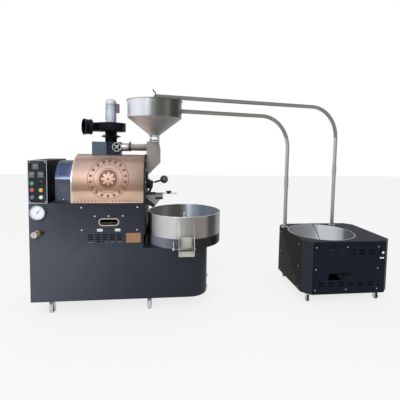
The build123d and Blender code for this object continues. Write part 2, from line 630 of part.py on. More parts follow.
def discharge_chute():
    """Two cheeks, each with a stiffening plate outside, and a sloping floor that ends over the tray."""
    x0, sheet, plate = FRONT_X, 3, 5
    half = CHUTE_INNER / 2
    tip, heel = (x0 + 80, 871), (x0 + 59, 851)
    outline = [(x0, 962), (x0 + 151, 960), tip, heel, (x0, 883)]
    chute = slab_xz([(x0, 903), tip, heel, (x0, 883)], AXIS_Y - half - 1, AXIS_Y + half + 1)
    for side in (-1, 1):
        inside, outside = AXIS_Y + side * half, AXIS_Y + side * (half + sheet)
        edge = AXIS_Y + side * (half + sheet + plate)
        chute += slab_xz(outline, min(inside, outside), max(inside, outside))
        chute += slab_xz([(x0, 932), tip, heel, (x0, 883)], min(outside, edge), max(outside, edge))
    return chute


def trier():
    """The sample spoon: its tube through the front plate to the drum's mouth, and a dark grip."""
    tube = rod_x(DRUM_X1 + 3, FRONT_X + 22, TRIER_Y, TRIER_Z, TRIER_R)
    grip = rod_x(FRONT_X + 16, FRONT_X + 78, TRIER_Y, TRIER_Z, TRIER_R + 4)
    return tube + fillet(grip.edges(), 3)


def sample_shelf():
    """A small steel shelf on a gusset, with a black knob on it and a black catch under its front."""
    z, y0, y1, x1 = 944, AXIS_Y + 92, AXIS_Y + 182, FRONT_X + 272
    shelf = block(FRONT_X, x1, y0, y1, z, z + 3)
    middle = (y0 + y1) / 2
    gusset = slab_xz([(FRONT_X, z), (FRONT_X + 130, z), (FRONT_X, z - 60)], middle - 3, middle + 3)
    knob_x = FRONT_X + 196
    knob = rod_z(z + 3, z + 12, knob_x, middle, 14) + rod_z(z + 12, z + 24, knob_x, middle, 26)
    catch = block(FRONT_X + 66, FRONT_X + 136, y0, y0 + 22, z - 33, z)
    return [shelf + gusset, fillet(knob.edges().group_by(Axis.Z)[-1], 6), catch]


# ---------------------------------------------------------------- hopper and feed
def hopper_bowl():
    w, rim = HOPPER_WALL, 5
    return turned([(HOPPER_R, HOPPER_SHOULDER), (HOPPER_R, HOPPER_TOP - rim), (HOPPER_R + rim, HOPPER_TOP - rim),
                   (HOPPER_R + rim, HOPPER_TOP), (HOPPER_R - w, HOPPER_TOP), (HOPPER_R - w, HOPPER_SHOULDER),
                   (NECK_R - w, NECK_TOP), (NECK_R, NECK_TOP)], HOPPER_X, AXIS_Y)


def hopper_lid():
    """A low cone with a turned-down edge, a centre boss and a bent clamp rod."""
    edge, rise, t = HOPPER_R + 8, 22, 2
    top = HOPPER_TOP
    lid = turned([(edge, top), (edge, top + t), (34, top + rise), (34, top + rise + 2), (TUBE_R, top + rise + 2),
                  (TUBE_R, top + rise - t), (edge - 6, top)], HOPPER_X, AXIS_Y)
    route = FilletPolyline((HOPPER_X + 8, AXIS_Y - 60, top + 12), (HOPPER_X + 8, AXIS_Y - 60, top + 62),
                           (HOPPER_X - 16, AXIS_Y - 60, top + 92), radius=16)
    rod = sweep(Plane(origin=(HOPPER_X + 8, AXIS_Y - 60, top + 12), z_dir=(0, 0, 1)) * Circle(5), path=route)
    foot = rod_z(top + 12, top + 24, HOPPER_X + 8, AXIS_Y - 60, 12)
    return [lid, (foot + rod) - lid]


def hopper_neck():
    slot_half = NECK_R - 8
    neck = ring_z(NECK_BOTTOM, NECK_TOP, HOPPER_X, AXIS_Y, NECK_R, NECK_R - 5)
    for z in (NECK_TOP - 6, NECK_BOTTOM):
        neck += ring_z(z, z + 6, HOPPER_X, AXIS_Y, NECK_R + 8, NECK_R - 5)
    guide = block(HOPPER_X - NECK_R, HOPPER_X + NECK_R, AXIS_Y - NECK_R - 12, AXIS_Y + NECK_R,
                  BLADE_Z - 8, BLADE_Z + 8)
    neck += guide - rod_z(BLADE_Z - 9, BLADE_Z + 9, HOPPER_X, AXIS_Y, NECK_R - 5)
    return neck - block(HOPPER_X - slot_half - FACE_GAP, HOPPER_X + slot_half + FACE_GAP,
                        AXIS_Y - NECK_R - 20, AXIS_Y + NECK_R - 4,
                        BLADE_Z - BLADE_T / 2 - FACE_GAP, BLADE_Z + BLADE_T / 2 + FACE_GAP)


def slide_gate():
    slot_half = NECK_R - 8
    blade = block(HOPPER_X - slot_half, HOPPER_X + slot_half, AXIS_Y - NECK_R - 34, AXIS_Y + NECK_R - 8,
                  BLADE_Z - BLADE_T / 2, BLADE_Z + BLADE_T / 2)
    front = AXIS_Y - NECK_R - 34
    pull = block(HOPPER_X - 22, HOPPER_X + 22, front - 5, front, BLADE_Z - 12, BLADE_Z + 12)
    return blade + pull


def feed_chute():
    """A bent sheet duct from the neck down to the front plate's feed hole."""
    x0, top = FRONT_X, NECK_BOTTOM
    outline = [(x0, 1126), (x0 + 8, 1126), (FEED_RIGHT, 1240), (FEED_RIGHT, 1349), (FEED_RIGHT - 14, top), (x0, top)]
    t = 3
    inside = [(x0 - 1, 1132), (x0 + 8, 1133), (FEED_RIGHT - t, 1243), (FEED_RIGHT - t, 1348),
              (FEED_RIGHT - 14 - t, top - t), (x0 - 1, top - t)]
    half = FEED_W / 2
    chute = slab_xz(outline, AXIS_Y - half, AXIS_Y + half) - slab_xz(inside, AXIS_Y - half + t, AXIS_Y + half - t)
    back = block(x0, x0 + t, AXIS_Y - half, AXIS_Y + half, FEED_HOLE[1] + 2, top)
    chute += back
    chute -= rod_z(top - t - 1, top + 1, HOPPER_X, AXIS_Y, NECK_R - 5)
    return chute - rod_x(x0 - 1, x0 + t + 1, AXIS_Y, CHAFF_PIPE_Z, CHAFF_PIPE_R - 2)


# ---------------------------------------------------------------- exhaust
def exhaust_plenum():
    """Two joined boxes on the housing's crown: the plenum and the damper box."""
    half, t = PLENUM_W / 2, 3
    crown = arch(HOUSING_X0, UPPER_LENGTH, HOUSING_R, COUNTER_TOP)
    base_z = DRUM_Z + HOUSING_R - 56
    plenum = block(PLENUM_X0, PLENUM_X1, AXIS_Y - half, AXIS_Y + half, base_z, PLENUM_TOP)
    plenum -= block(PLENUM_X0 + t, PLENUM_X1 - t, AXIS_Y - half + t, AXIS_Y + half - t, base_z - 1, PLENUM_TOP - t)
    damper = block(PLENUM_X1, DAMPER_X1, AXIS_Y - half + 6, AXIS_Y + half - 6, base_z, PLENUM_TOP)
    damper -= block(PLENUM_X1 + t, DAMPER_X1 - t, AXIS_Y - half + 9, AXIS_Y + half - 9, base_z - 1, PLENUM_TOP - t)
    both = plenum + damper - crown
    both -= rod_z(PLENUM_TOP - t - 1, PLENUM_TOP + 1, FAN_X, AXIS_Y, FAN_NECK_R - 3)
    both -= rod_x(DAMPER_X1 - t - 1, DAMPER_X1 + 1, AXIS_Y, CHAFF_PIPE_Z, CHAFF_PIPE_R - 2)
    return both - rod_y(AXIS_Y - half, AXIS_Y - half + 10, DIAL_X, CHAFF_PIPE_Z, 5 + RUNNING)


def damper_dial():
    """The dial with its finger bar and its spindle into the damper box."""
    front = AXIS_Y - PLENUM_W / 2 + 6
    z = CHAFF_PIPE_Z
    dial = rod_y(front - 12, front - FACE_GAP, DIAL_X, z, DIAL_R)
    dial -= rod_y(front - 13, front - 7, DIAL_X, z, DIAL_R - 7)
    for turn in (0, 90):
        bar = Pos(DIAL_X, front - 14, z) * Rot(0, turn + 45, 0) * Box(2 * DIAL_R - 4, 8, 8)
        dial += bar
    return dial + rod_y(front - 10, front + 22, DIAL_X, z, 5)


def fan_housing():
    """Neck with its clamped flange, flat scroll and the turned outlet with its round collar."""
    t = 3
    neck = ring_z(PLENUM_TOP, SCROLL_Z0, FAN_X, AXIS_Y, FAN_NECK_R, FAN_NECK_R - t)
    flange_z = 1455
    neck += ring_z(flange_z, flange_z + 8, FAN_X, AXIS_Y, FAN_NECK_R + 32, FAN_NECK_R - t)
    for turn in range(4):
        angle = math.radians(45 + 90 * turn)
        reach = FAN_NECK_R + 22
        neck += rod_z(flange_z - 10, flange_z + 18, FAN_X + reach * math.cos(angle),
                      AXIS_Y + reach * math.sin(angle), 6)
    offset, duct_half = 66, 58
    duct = Pos(FAN_X, AXIS_Y, SCROLL_Z0) * Rot(0, 0, 180 + OUTLET_TURN)
    duct_l = 150
    hull = rod_z(SCROLL_Z0, SCROLL_Z1, FAN_X, AXIS_Y, SCROLL_R)
    hull += duct * block(0, duct_l, -offset - duct_half, -offset + duct_half, 0, SCROLL_Z1 - SCROLL_Z0)
    inside = rod_z(SCROLL_Z0 + t, SCROLL_Z1 - t, FAN_X, AXIS_Y, SCROLL_R - t)
    inside += duct * block(0, duct_l + 1, -offset - duct_half + t, -offset + duct_half - t, t,
                           SCROLL_Z1 - SCROLL_Z0 - t)
    mid_z = (SCROLL_Z1 - SCROLL_Z0) / 2
    start = duct * Pos(duct_l, -offset, mid_z) * Rot(0, 90, 0)
    collar = start * Cylinder(OUTLET_R, 62, align=LOW) - start * Cylinder(OUTLET_R - t, 63, align=LOW)
    collar -= start * Cylinder(OUTLET_R - 1, 9, align=LOW)
    end_hole = Box(2 * mid_z - 2 * t, 2 * duct_half - 2 * t, 20) & Cylinder(OUTLET_R - t, 20)
    end_plate = Cylinder(OUTLET_R + 3, t, align=LOW) + Pos(0, 0, t / 2) * Box(2 * mid_z, 2 * duct_half, t)
    plate = start * (end_plate - end_hole)
    lip = start * Pos(0, 0, 50) * (Cylinder(OUTLET_R + 5, 12, align=LOW) - Cylinder(OUTLET_R - t, 13, align=LOW))
    hull = hull - inside
    hull -= rod_z(SCROLL_Z0 - 1, SCROLL_Z0 + t + 1, FAN_X, AXIS_Y, FAN_NECK_R - t)
    hull -= rod_z(SCROLL_Z1 - t - 1, SCROLL_Z1 + 1, FAN_X, AXIS_Y, FAN_SHAFT_R + 4)
    return neck + hull + plate + collar + lip


def fan_impeller():
    """Back plate, hub, curved blades and the motor's shaft."""
    z0, z1 = SCROLL_Z0 + 12, SCROLL_Z1 - 12
    wheel = rod_z(z1 - 3, z1, FAN_X, AXIS_Y, IMPELLER_R) + rod_z(z0 + 14, z1, FAN_X, AXIS_Y, 22)
    for number in range(10):
        blade = block(20, IMPELLER_R - 2, -1.5, 1.5, 0, z1 - z0)
        wheel += Pos(FAN_X, AXIS_Y, z0) * Rot(0, 0, 36 * number) * blade
    return wheel + rod_z(z1, SCROLL_Z1 + 30, FAN_X, AXIS_Y, FAN_SHAFT_R)


def fan_motor():
    foot = ring_z(SCROLL_Z1, SCROLL_Z1 + 8, FAN_X, AXIS_Y, FAN_MOTOR_R + 12, FAN_SHAFT_R + 4)
    body = rod_z(SCROLL_Z1 + 8, FAN_MOTOR_TOP - 42, FAN_X, AXIS_Y, FAN_MOTOR_R)
    cowl = rod_z(FAN_MOTOR_TOP - 42, FAN_MOTOR_TOP, FAN_X, AXIS_Y, FAN_MOTOR_R + 2)
    cowl = fillet(cowl.edges().group_by(Axis.Z)[-1], 22)
    motor = foot + body + cowl - rod_z(SCROLL_Z1 - 1, SCROLL_Z1 + 31, FAN_X, AXIS_Y, FAN_SHAFT_R + RUNNING)
    for number in range(16):
        angle = 22.5 * number
        if number:
            fin = block(FAN_MOTOR_R - 1, FAN_MOTOR_R + 3, -1, 1, 0, 112)
            motor += Pos(FAN_X, AXIS_Y, SCROLL_Z1 + 24) * Rot(0, 0, angle) * fin
    box_x = FAN_X + FAN_MOTOR_R - 2
    return motor + block(box_x, box_x + 28, AXIS_Y - 24, AXIS_Y + 24, 1662, 1737)


def chaff_pipe():
    """The steel pipe from the damper box to the feed chute, with its socket and clamp."""
    bore = rod_x(DAMPER_X1 - 1, FRONT_X + 1, AXIS_Y, CHAFF_PIPE_Z, CHAFF_PIPE_R - 2)
    pipe = rod_x(DAMPER_X1, FRONT_X, AXIS_Y, CHAFF_PIPE_Z, CHAFF_PIPE_R)
    socket = rod_x(DAMPER_X1, DAMPER_X1 + 65, AXIS_Y, CHAFF_PIPE_Z, CHAFF_PIPE_R + 5)
    clamp = rod_x(DAMPER_X1 + 70, DAMPER_X1 + 82, AXIS_Y, CHAFF_PIPE_Z, CHAFF_PIPE_R + 7)
    clamp += block(DAMPER_X1 + 70, DAMPER_X1 + 82, AXIS_Y - 10, AXIS_Y + 10, CHAFF_PIPE_Z, CHAFF_PIPE_Z + CHAFF_PIPE_R + 16)
    return pipe + socket + clamp - bore


# ---------------------------------------------------------------- cooling tray
def gate_cut(y0, y1):
    return block(GATE_X0, GATE_X1, y0, y1, TRAY_FLOOR + 1, GATE_TOP - 6)


def cooling_tray():
    r, w, bead = TRAY_R - TRAY_WALL, TRAY_WALL - 1, 5
    tray = turned([(r - w, TRAY_FLOOR), (r, TRAY_FLOOR), (r, TRAY_BASE_TOP), (TRAY_R, TRAY_BASE_TOP),
                   (TRAY_R, TRAY_TOP - bead), (TRAY_R + 3, TRAY_TOP - bead), (TRAY_R + 3, TRAY_TOP),
                   (TRAY_R - 4, TRAY_TOP), (TRAY_R - 4, TRAY_BASE_TOP + 1), (r - w, TRAY_BASE_TOP + 1)],
                  TRAY_X, AXIS_Y)
    return tray - gate_cut(TRAY_FRONT - 5, TRAY_FRONT + 40)


def tray_floor():
    floor = ring_z(TRAY_FLOOR - 4, TRAY_FLOOR, TRAY_X, AXIS_Y, TRAY_R - TRAY_WALL, STIRRER_SHAFT_R + 4)
    for count, reach in ((8, 70), (14, 120), (20, 170), (26, 220), (32, 270)):
        for number in range(count):
            angle = 360 * number / count
            slot = Pos(TRAY_X, AXIS_Y, TRAY_FLOOR - 5) * Rot(0, 0, angle) * block(reach - 14, reach + 14, -3, 3, 0, 6)
            floor -= slot
    return floor


def tray_base():
    """The black ring under the steel wall, with the gate's cheeks and lip welded on."""
    ring = ring_z(DECK_TOP, TRAY_BASE_TOP, TRAY_X, AXIS_Y, TRAY_R, TRAY_R - TRAY_WALL)
    ledge = ring_z(DECK_TOP, TRAY_FLOOR - 4, TRAY_X, AXIS_Y, TRAY_R - TRAY_WALL, TRAY_R - 16)
    base = ring + ledge
    base -= block(GATE_X0, GATE_X1, TRAY_FRONT - 5, TRAY_FRONT + 40, TRAY_FLOOR + 1, TRAY_BASE_TOP + 1)
    t = 4
    lip_z = HINGE_Z - LIP_DROP
    for x in (GATE_X0 - t, GATE_X1):
        cheek = block(x, x + t, LIP_FRONT, TRAY_FRONT + 12, lip_z, GATE_TOP)
        cheek -= Pos(0, LIP_FRONT, HINGE_Z + 14) * Rot(-22, 0, 0) * block(x - 1, x + t + 1, -90, 0, 0, 160)
        cheek -= Pos(0, TRAY_FRONT, lip_z - 1) * block(x - 1, x + t + 1, 0, 60, 0, DECK_TOP - lip_z + 1)
        cheek -= rod_z(lip_z, GATE_TOP + 1, TRAY_X, AXIS_Y, TRAY_R)
        base += cheek - rod_x(x - 1, x + t + 1, HINGE_Y, HINGE_Z, PIN_R + RUNNING)
    floor_back, floor_front = (TRAY_FRONT, DECK_TOP - 14), (LIP_FRONT, lip_z)
    plate = make_face(Polyline((0, floor_back[0], floor_back[1]), (0, floor_front[0], floor_front[1]),
                               (0, floor_front[0], floor_front[1] + t), (0, floor_back[0], floor_back[1] + t + 2),
                               close=True))
    base += Pos(GATE_X0 - t, 0, 0) * extrude(plate, GATE_X1 - GATE_X0 + 2 * t, dir=(1, 0, 0))
    return base


def tray_gate():
    """The flap with its pivot rod and the bent handle."""
    y0 = HINGE_Y - 2
    flap = block(GATE_X0 + 1, GATE_X1 - 1, y0, y0 + 4, HINGE_Z, GATE_TOP)
    rod_end = GATE_X0 - 48
    pivot = rod_x(rod_end, GATE_X1 + 14, HINGE_Y, HINGE_Z, PIN_R)
    handle = rod_z(HINGE_Z, HINGE_Z + 62, rod_end + 3, HINGE_Y, PIN_R - 1)
    grip = rod_z(HINGE_Z - 10, HINGE_Z + 10, rod_end + 3, HINGE_Y, PIN_R + 4)
    return flap + pivot + handle + grip


def stirrer():
    """Shaft, hub and four arms with their slanted paddles."""
    shaft = rod_z(DECK_TOP - 60, STIRRER_TOP, TRAY_X, AXIS_Y, STIRRER_SHAFT_R)
    hub_z = TRAY_FLOOR + 62
    body = shaft + rod_z(hub_z - 20, hub_z + 30, TRAY_X, AXIS_Y, 30)
    body = fillet(body.edges().group_by(Axis.Z)[-1], 4)
    reach = TRAY_R - 30
    for number in range(4):
        arm = rod_x(0, reach - 16, 0, 0, 8)
        for step in range(3):
            x = 90 + 84 * step + 14 * (number % 2)
            paddle = Rot(0, 0, 35) * block(-34, 34, -2, 2, -58, 6)
            arm += Pos(x, 0, 0) * paddle
        body += Pos(TRAY_X, AXIS_Y, hub_z) * Rot(0, 0, 90 * number + 20) * arm
    return body


def stirrer_gearmotor():
    """A vertical gearmotor hung by its flange under the deck."""
    top = DECK_TOP - PLATE_T
    flange = rod_z(top - 10, top, TRAY_X, AXIS_Y, 78)
    box = block(TRAY_X - 60, TRAY_X + 60, AXIS_Y - 60, AXIS_Y + 60, top - 96, top - 10)
    motor = rod_z(top - 260, top - 96, TRAY_X, AXIS_Y, 55)
    bore = rod_z(DECK_TOP - 60 - FACE_GAP, top + 1, TRAY_X, AXIS_Y, STIRRER_SHAFT_R + RUNNING)
    return flange + box + motor - bore


# ---------------------------------------------------------------- conveying tubes
def bent_tube(start, foot, height, bottom):
    """A level run, one bend and a drop, in the upright plane through both plan points."""
    corner = (foot[0], foot[1], height)
    path = FilletPolyline((start[0], start[1], height), corner, (foot[0], foot[1], bottom), radius=BEND_R)
    run = Vector(foot[0] - start[0], foot[1] - start[1], 0)
    end = Plane(origin=(start[0], start[1], height), z_dir=run)
    return sweep(end * Circle(TUBE_R), path=path) - sweep(end * Circle(TUBE_R - TUBE_WALL), path=path)


def foot_flange(foot):
    return ring_z(LOADER_TOP, LOADER_TOP + 6, foot[0], foot[1], TUBE_R + 16, TUBE_R)


def lower_tube():
    run = Vector(LOWER_FOOT[0] - HOPPER_X, LOWER_FOOT[1] - AXIS_Y, 0).normalized()
    start = (HOPPER_X + run.X * (HOPPER_R - 6), AXIS_Y + run.Y * (HOPPER_R - 6))
    tube = bent_tube(start, LOWER_FOOT, LOWER_TUBE_Z, LOADER_TOP)
    tube -= rod_z(LOWER_TUBE_Z - 40, LOWER_TUBE_Z + 40, HOPPER_X, AXIS_Y, HOPPER_R)
    coupling = ring_z(985, 985 + COUPLING_L, LOWER_FOOT[0], LOWER_FOOT[1], COUPLING_R, TUBE_R)
    return [tube, coupling, foot_flange(LOWER_FOOT)]


def upper_tube():
    """It ends in a short elbow down into the lid's boss."""
    run = Vector(UPPER_FOOT[0] - HOPPER_X, UPPER_FOOT[1] - AXIS_Y, 0).normalized()
    low = (HOPPER_X, AXIS_Y, HOPPER_TOP + 22)
    knee = (HOPPER_X, AXIS_Y, UPPER_TUBE_Z)
    elbow_r = UPPER_TUBE_Z - HOPPER_TOP - 23
    after = (HOPPER_X + run.X * 120, AXIS_Y + run.Y * 120, UPPER_TUBE_Z)
    elbow_path = FilletPolyline(low, knee, after, radius=elbow_r - 1)
    base = Plane(origin=low, z_dir=(0, 0, 1))
    elbow = sweep(base * Circle(TUBE_R), path=elbow_path) - sweep(base * Circle(TUBE_R - TUBE_WALL), path=elbow_path)
    tube = bent_tube(after, UPPER_FOOT, UPPER_TUBE_Z, LOADER_TOP)
    coupling = ring_z(1108, 1108 + COUPLING_L, UPPER_FOOT[0], UPPER_FOOT[1], COUPLING_R, TUBE_R)
    return [elbow, tube, coupling, foot_flange(UPPER_FOOT)]


# ---------------------------------------------------------------- loader
def loader_plan(inset, z0, z1):
    plan = block(LOADER_X0 + inset, LOADER_X1 - inset, LOADER_Y0 + inset, LOADER_Y1 - inset, z0, z1)
    return chamfer(plan.edges().filter_by(Axis.Z), LOADER_CHAMFER - inset * 0.6)


def loader_body():
    top = LOADER_TOP - PLATE_T
    body = loader_plan(0, LOADER_BOTTOM, top) - loader_plan(SHEET, LOADER_BOTTOM + PLATE_T, top + 1)
    x0, x1, z0, z1 = LOADER_PANEL
    rim = 30
    body -= block(x0 + rim, x1 - rim, LOADER_Y0 - 1, LOADER_Y0 + SHEET + 1, z0 + rim, z1 - rim)
    body -= rod_y(LOADER_Y0 - 1, LOADER_Y0 + SHEET + 1, KNOB_X, KNOB_Z, 4 + RUNNING)
    for row in range(10):
        z = LOADER_BOTTOM + 120 + row * 22
        for x0 in (LOADER_X0 + 160, LOADER_X0 + 440):
            body -= block(x0, x0 + 200, LOADER_Y1 - SHEET - 1, LOADER_Y1 + 1, z, z + 8)
    return body


def loader_top():
    plate = loader_plan(0, LOADER_TOP - PLATE_T, LOADER_TOP)
    plate -= rod_z(LOADER_TOP - PLATE_T - 1, LOADER_TOP + 1, BOWL_X, BOWL_Y, BOWL_R - 2)
    for foot in (LOWER_FOOT, UPPER_FOOT):
        plate -= rod_z(LOADER_TOP - PLATE_T - 1, LOADER_TOP + 1, foot[0], foot[1], TUBE_R - TUBE_WALL)
    return plate


def loader_bowl():
    """A spun bowl with a flat rim on the top plate, a straight wall and a cone to its outlet."""
    rim, w = 6, 2
    r = BOWL_R - 2 - FACE_GAP
    return turned([(BOWL_R + rim, LOADER_TOP), (BOWL_R + rim, LOADER_TOP + w), (r - w, LOADER_TOP + w),
                   (r - w, BOWL_SHOULDER), (BOWL_OUTLET_R, BOWL_OUTLET_Z), (BOWL_OUTLET_R, BOWL_OUTLET_Z - 60),
                   (BOWL_OUTLET_R + w, BOWL_OUTLET_Z - 60), (BOWL_OUTLET_R + w, BOWL_OUTLET_Z - 1),
                   (r, BOWL_SHOULDER - 1), (r, LOADER_TOP)], BOWL_X, BOWL_Y)


def loader_front_panel():
    x0, x1, z0, z1 = LOADER_PANEL
    y = LOADER_Y0
    panel = block(x0, x1, y - PANEL_T, y, z0, z1)
    slot_w, slot_h, pitch = 52, 9, 94
    for z in (478, 449, 186, 161):
        for number in range(6):
            x = 2408 + number * pitch
            panel -= block(x, x + slot_w, y - PANEL_T - 1, y + 1, z, z + slot_h)
    panel -= block(2503, 2713, y - PANEL_T - 1, y + 1, 216, 277)
    return framing(panel, 2503, 2713, 246)


def loader_fittings():
    """Panel screws, side screws and two small lamps."""
    y = LOADER_Y0
    pieces = []
    for x in LOADER_SCREWS_X:
        for z in LOADER_SCREWS_Z:
            if (x, z) != (LOADER_SCREWS_X[1], LOADER_SCREWS_Z[1]):
                pieces.append(pan_screw(x, y - PANEL_T, z, 5, 2.5))
    for z in (507, 306, 112):
        for side_y in (LOADER_Y0 + 133, LOADER_Y1 - 133):
            pieces.append(rod_x(LOADER_X0 - 2.5, LOADER_X0, side_y, z, 5))
    for x, z in LAMPS:
        pieces.append(rod_y(y - 5, y, x, z, 7))
    return pieces


def loader_knob():
    front = LOADER_Y0 - FACE_GAP
    knob = rod_y(front - 14, front, KNOB_X, KNOB_Z, KNOB_R)
    knob = fillet(knob.edges().sort_by(Axis.Y)[0], 2)
    mark = block(KNOB_X - 1.2, KNOB_X + 1.2, front - 15, front - 14, KNOB_Z, KNOB_Z + KNOB_R - 3)
    return knob + mark + rod_y(front, LOADER_Y0 + 24, KNOB_X, KNOB_Z, 4)


def loader_blower():
    """A side-channel blower on the loader's floor, with its pipe under the bowl's outlet."""
    z0 = LOADER_BOTTOM + PLATE_T
    x, y, axle_z = LOADER_X1 - 200, BOWL_Y + 36, z0 + 130
    stand_half, foot_half = 50, 100
    foot = block(x - foot_half, x + foot_half, y - 160, y + 50, z0, z0 + 20)
    motor = rod_y(y - 170, y, x, axle_z, 70)
    wheel = rod_y(y, y + 70, x, axle_z, 105)
    stand = block(x - stand_half, x + stand_half, y - 150, y + 50, z0 + 20, z0 + 90)
    pick_up = ring_z(z0, BOWL_OUTLET_Z - 60, BOWL_X, BOWL_Y, BOWL_OUTLET_R + 2, BOWL_OUTLET_R - 6)
    pipe = rod_x(BOWL_X + BOWL_OUTLET_R, x - stand_half, y + 30, z0 + 60, TUBE_R)
    box = block(BOWL_X - 80, BOWL_X + 90, BOWL_Y - 80, BOWL_Y + 120, z0, z0 + 90)
    box -= rod_z(z0 - 1, z0 + 91, BOWL_X, BOWL_Y, BOWL_OUTLET_R - 6)
    return [foot + stand + motor + wheel, box + pick_up + pipe]


def level_probe():
    """A bent sensing rod from the bowl's back rim down to its floor, with a small head."""
    head = rod_z(LOADER_TOP + 2, LOADER_TOP + 12, BOWL_X + 60, BOWL_Y + BOWL_R, 9)
    bridge = block(BOWL_X + 57, BOWL_X + 63, BOWL_Y + BOWL_R - 20, BOWL_Y + BOWL_R + 4,
                   LOADER_TOP + 2, LOADER_TOP + 6)
    knee = (BOWL_X + 60, BOWL_Y + BOWL_R - 20, LOADER_TOP + 4)
    route = FilletPolyline(knee, (BOWL_X + 30, BOWL_Y + 130, 520), (BOWL_X + 10, BOWL_Y - 30, 420), radius=90)
    direction = Vector(route @ 0.01) - Vector(route @ 0)
    rod = sweep(Plane(origin=knee, z_dir=direction) * Circle(3.5), path=route)
    return head + bridge + rod


# ---------------------------------------------------------------- casters
def caster_fork(x, y, wheel_r, top):
    """A swivel fork that straddles its wheel, axle along X."""
    half, cheek_t, wheel_half = 22 * wheel_r / 45, 3, 15 * wheel_r / 45
    head = rod_z(top - 10, top, x, y, wheel_r * 0.62)
    fork = block(x - wheel_half - cheek_t - 1, x + wheel_half + cheek_t + 1, y - half, y + half,
                 wheel_r - 12 * wheel_r / 45, top - 10)
    fork -= block(x - wheel_half - 1, x + wheel_half + 1, y - half - 1, y + half + 1, 0, top - 14)
    return head + fork - rod_x(x - 40, x + 40, y, wheel_r, AXLE_R + RUNNING)


def wheel_pair(columns, y, wheel_r):
    wheels = []
    wheel_half = 15 * wheel_r / 45
    for x in columns:
        tyre = rod_x(x - wheel_half, x + wheel_half, y, wheel_r, wheel_r)
        tyre = fillet(tyre.edges(), wheel_half * 0.4)
        axle = rod_x(x - wheel_half - 4, x + wheel_half + 4, y, wheel_r, AXLE_R)
        wheels.append(tyre + axle)
    return wheels


# ---------------------------------------------------------------- write every sub-part
def main():
    os.makedirs("parts", exist_ok=True)
    write("base_frame", base_frame())
    write("cabinet_shell", cabinet_shell())
    write("deck_plates", counter_plate(), tray_deck())
    write("burner_panel", *burner_panel(), *window_ring(), *panel_fittings())
    write("service_panel", service_panel())
    write("pressure_gauge", pressure_gauge())
    write("gas_valve", gas_valve())
    write("gas_valve_knob", gas_valve_knob())
    write("gas_burner", gas_burner(), gas_pipe())
    write("control_box", control_box())
    write("control_panel", control_panel())
    write("panel_instruments", *[instrument(x, z) for x, z in (DISPLAY,) + CONTROLLERS])
    left, right = BUTTON_COLUMNS
    top, middle, low = BUTTON_ROWS
    write("button_start", push_button(left, top))
    write("selector_switch", selector(right, top))
    write("button_stop", push_button(left, middle))
    write("button_burner", push_button(right, middle))
    write("button_fan", push_button(left, low))
    write("button_cooling", push_button(right, low))
    write("drum_housing", drum_housing())
    write("drum_rear_cover", drum_rear_cover())
    write("front_plate", front_plate())
    write("sight_glass", sight_glass())
    write("drum_bearings", *drum_bearings())
    write("roasting_drum", roasting_drum())
    write("drum_gearmotor", drum_gearmotor())
    write("bean_door", bean_door())
    write("discharge_chute", discharge_chute())
    write("trier", trier())
    write("sample_shelf", *sample_shelf())
    write("hopper_bowl", hopper_bowl())
    write("hopper_lid", *hopper_lid())
    write("hopper_neck", hopper_neck())
    write("slide_gate", slide_gate())
    write("feed_chute", feed_chute())
    write("exhaust_plenum", exhaust_plenum())
    write("damper_dial", damper_dial())
    write("fan_housing", fan_housing())
    write("fan_impeller", fan_impeller())
    write("fan_motor", fan_motor())
    write("chaff_pipe", chaff_pipe())
    write("cooling_tray", cooling_tray())
    write("tray_floor", tray_floor())
    write("tray_base", tray_base())
    write("tray_gate", tray_gate())
    write("stirrer", stirrer())
    write("stirrer_gearmotor", stirrer_gearmotor())
    write("lower_tube", *lower_tube())
    write("upper_tube", *upper_tube())
    write("loader_body", loader_body())
    write("loader_top", loader_top())
    write("loader_bowl", loader_bowl())
    write("loader_front_panel", *loader_front_panel(), *loader_fittings())
    write("loader_knob", loader_knob())
    write("loader_blower", *loader_blower())
    write("level_probe", level_probe())
    forks = [caster_fork(x, y, ROASTER_WHEEL_R, CABINET_BOTTOM - PLATE_T)
             for x in ROASTER_CASTERS_X for y in ROASTER_CASTERS_Y]
    forks += [caster_fork(x, y, LOADER_WHEEL_R, LOADER_BOTTOM)
              for x in LOADER_CASTERS_X for y in LOADER_CASTERS_Y]
    write("caster_forks", *forks)
    write("roaster_front_wheels", *wheel_pair(ROASTER_CASTERS_X, ROASTER_CASTERS_Y[0], ROASTER_WHEEL_R))
    write("roaster_rear_wheels", *wheel_pair(ROASTER_CASTERS_X, ROASTER_CASTERS_Y[1], ROASTER_WHEEL_R))
    write("loader_front_wheels", *wheel_pair(LOADER_CASTERS_X, LOADER_CASTERS_Y[0], LOADER_WHEEL_R))
    write("loader_rear_wheels", *wheel_pair(LOADER_CASTERS_X, LOADER_CASTERS_Y[1], LOADER_WHEEL_R))


main()
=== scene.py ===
import bmesh
import bpy
import json
import math
from mathutils import Matrix, Vector

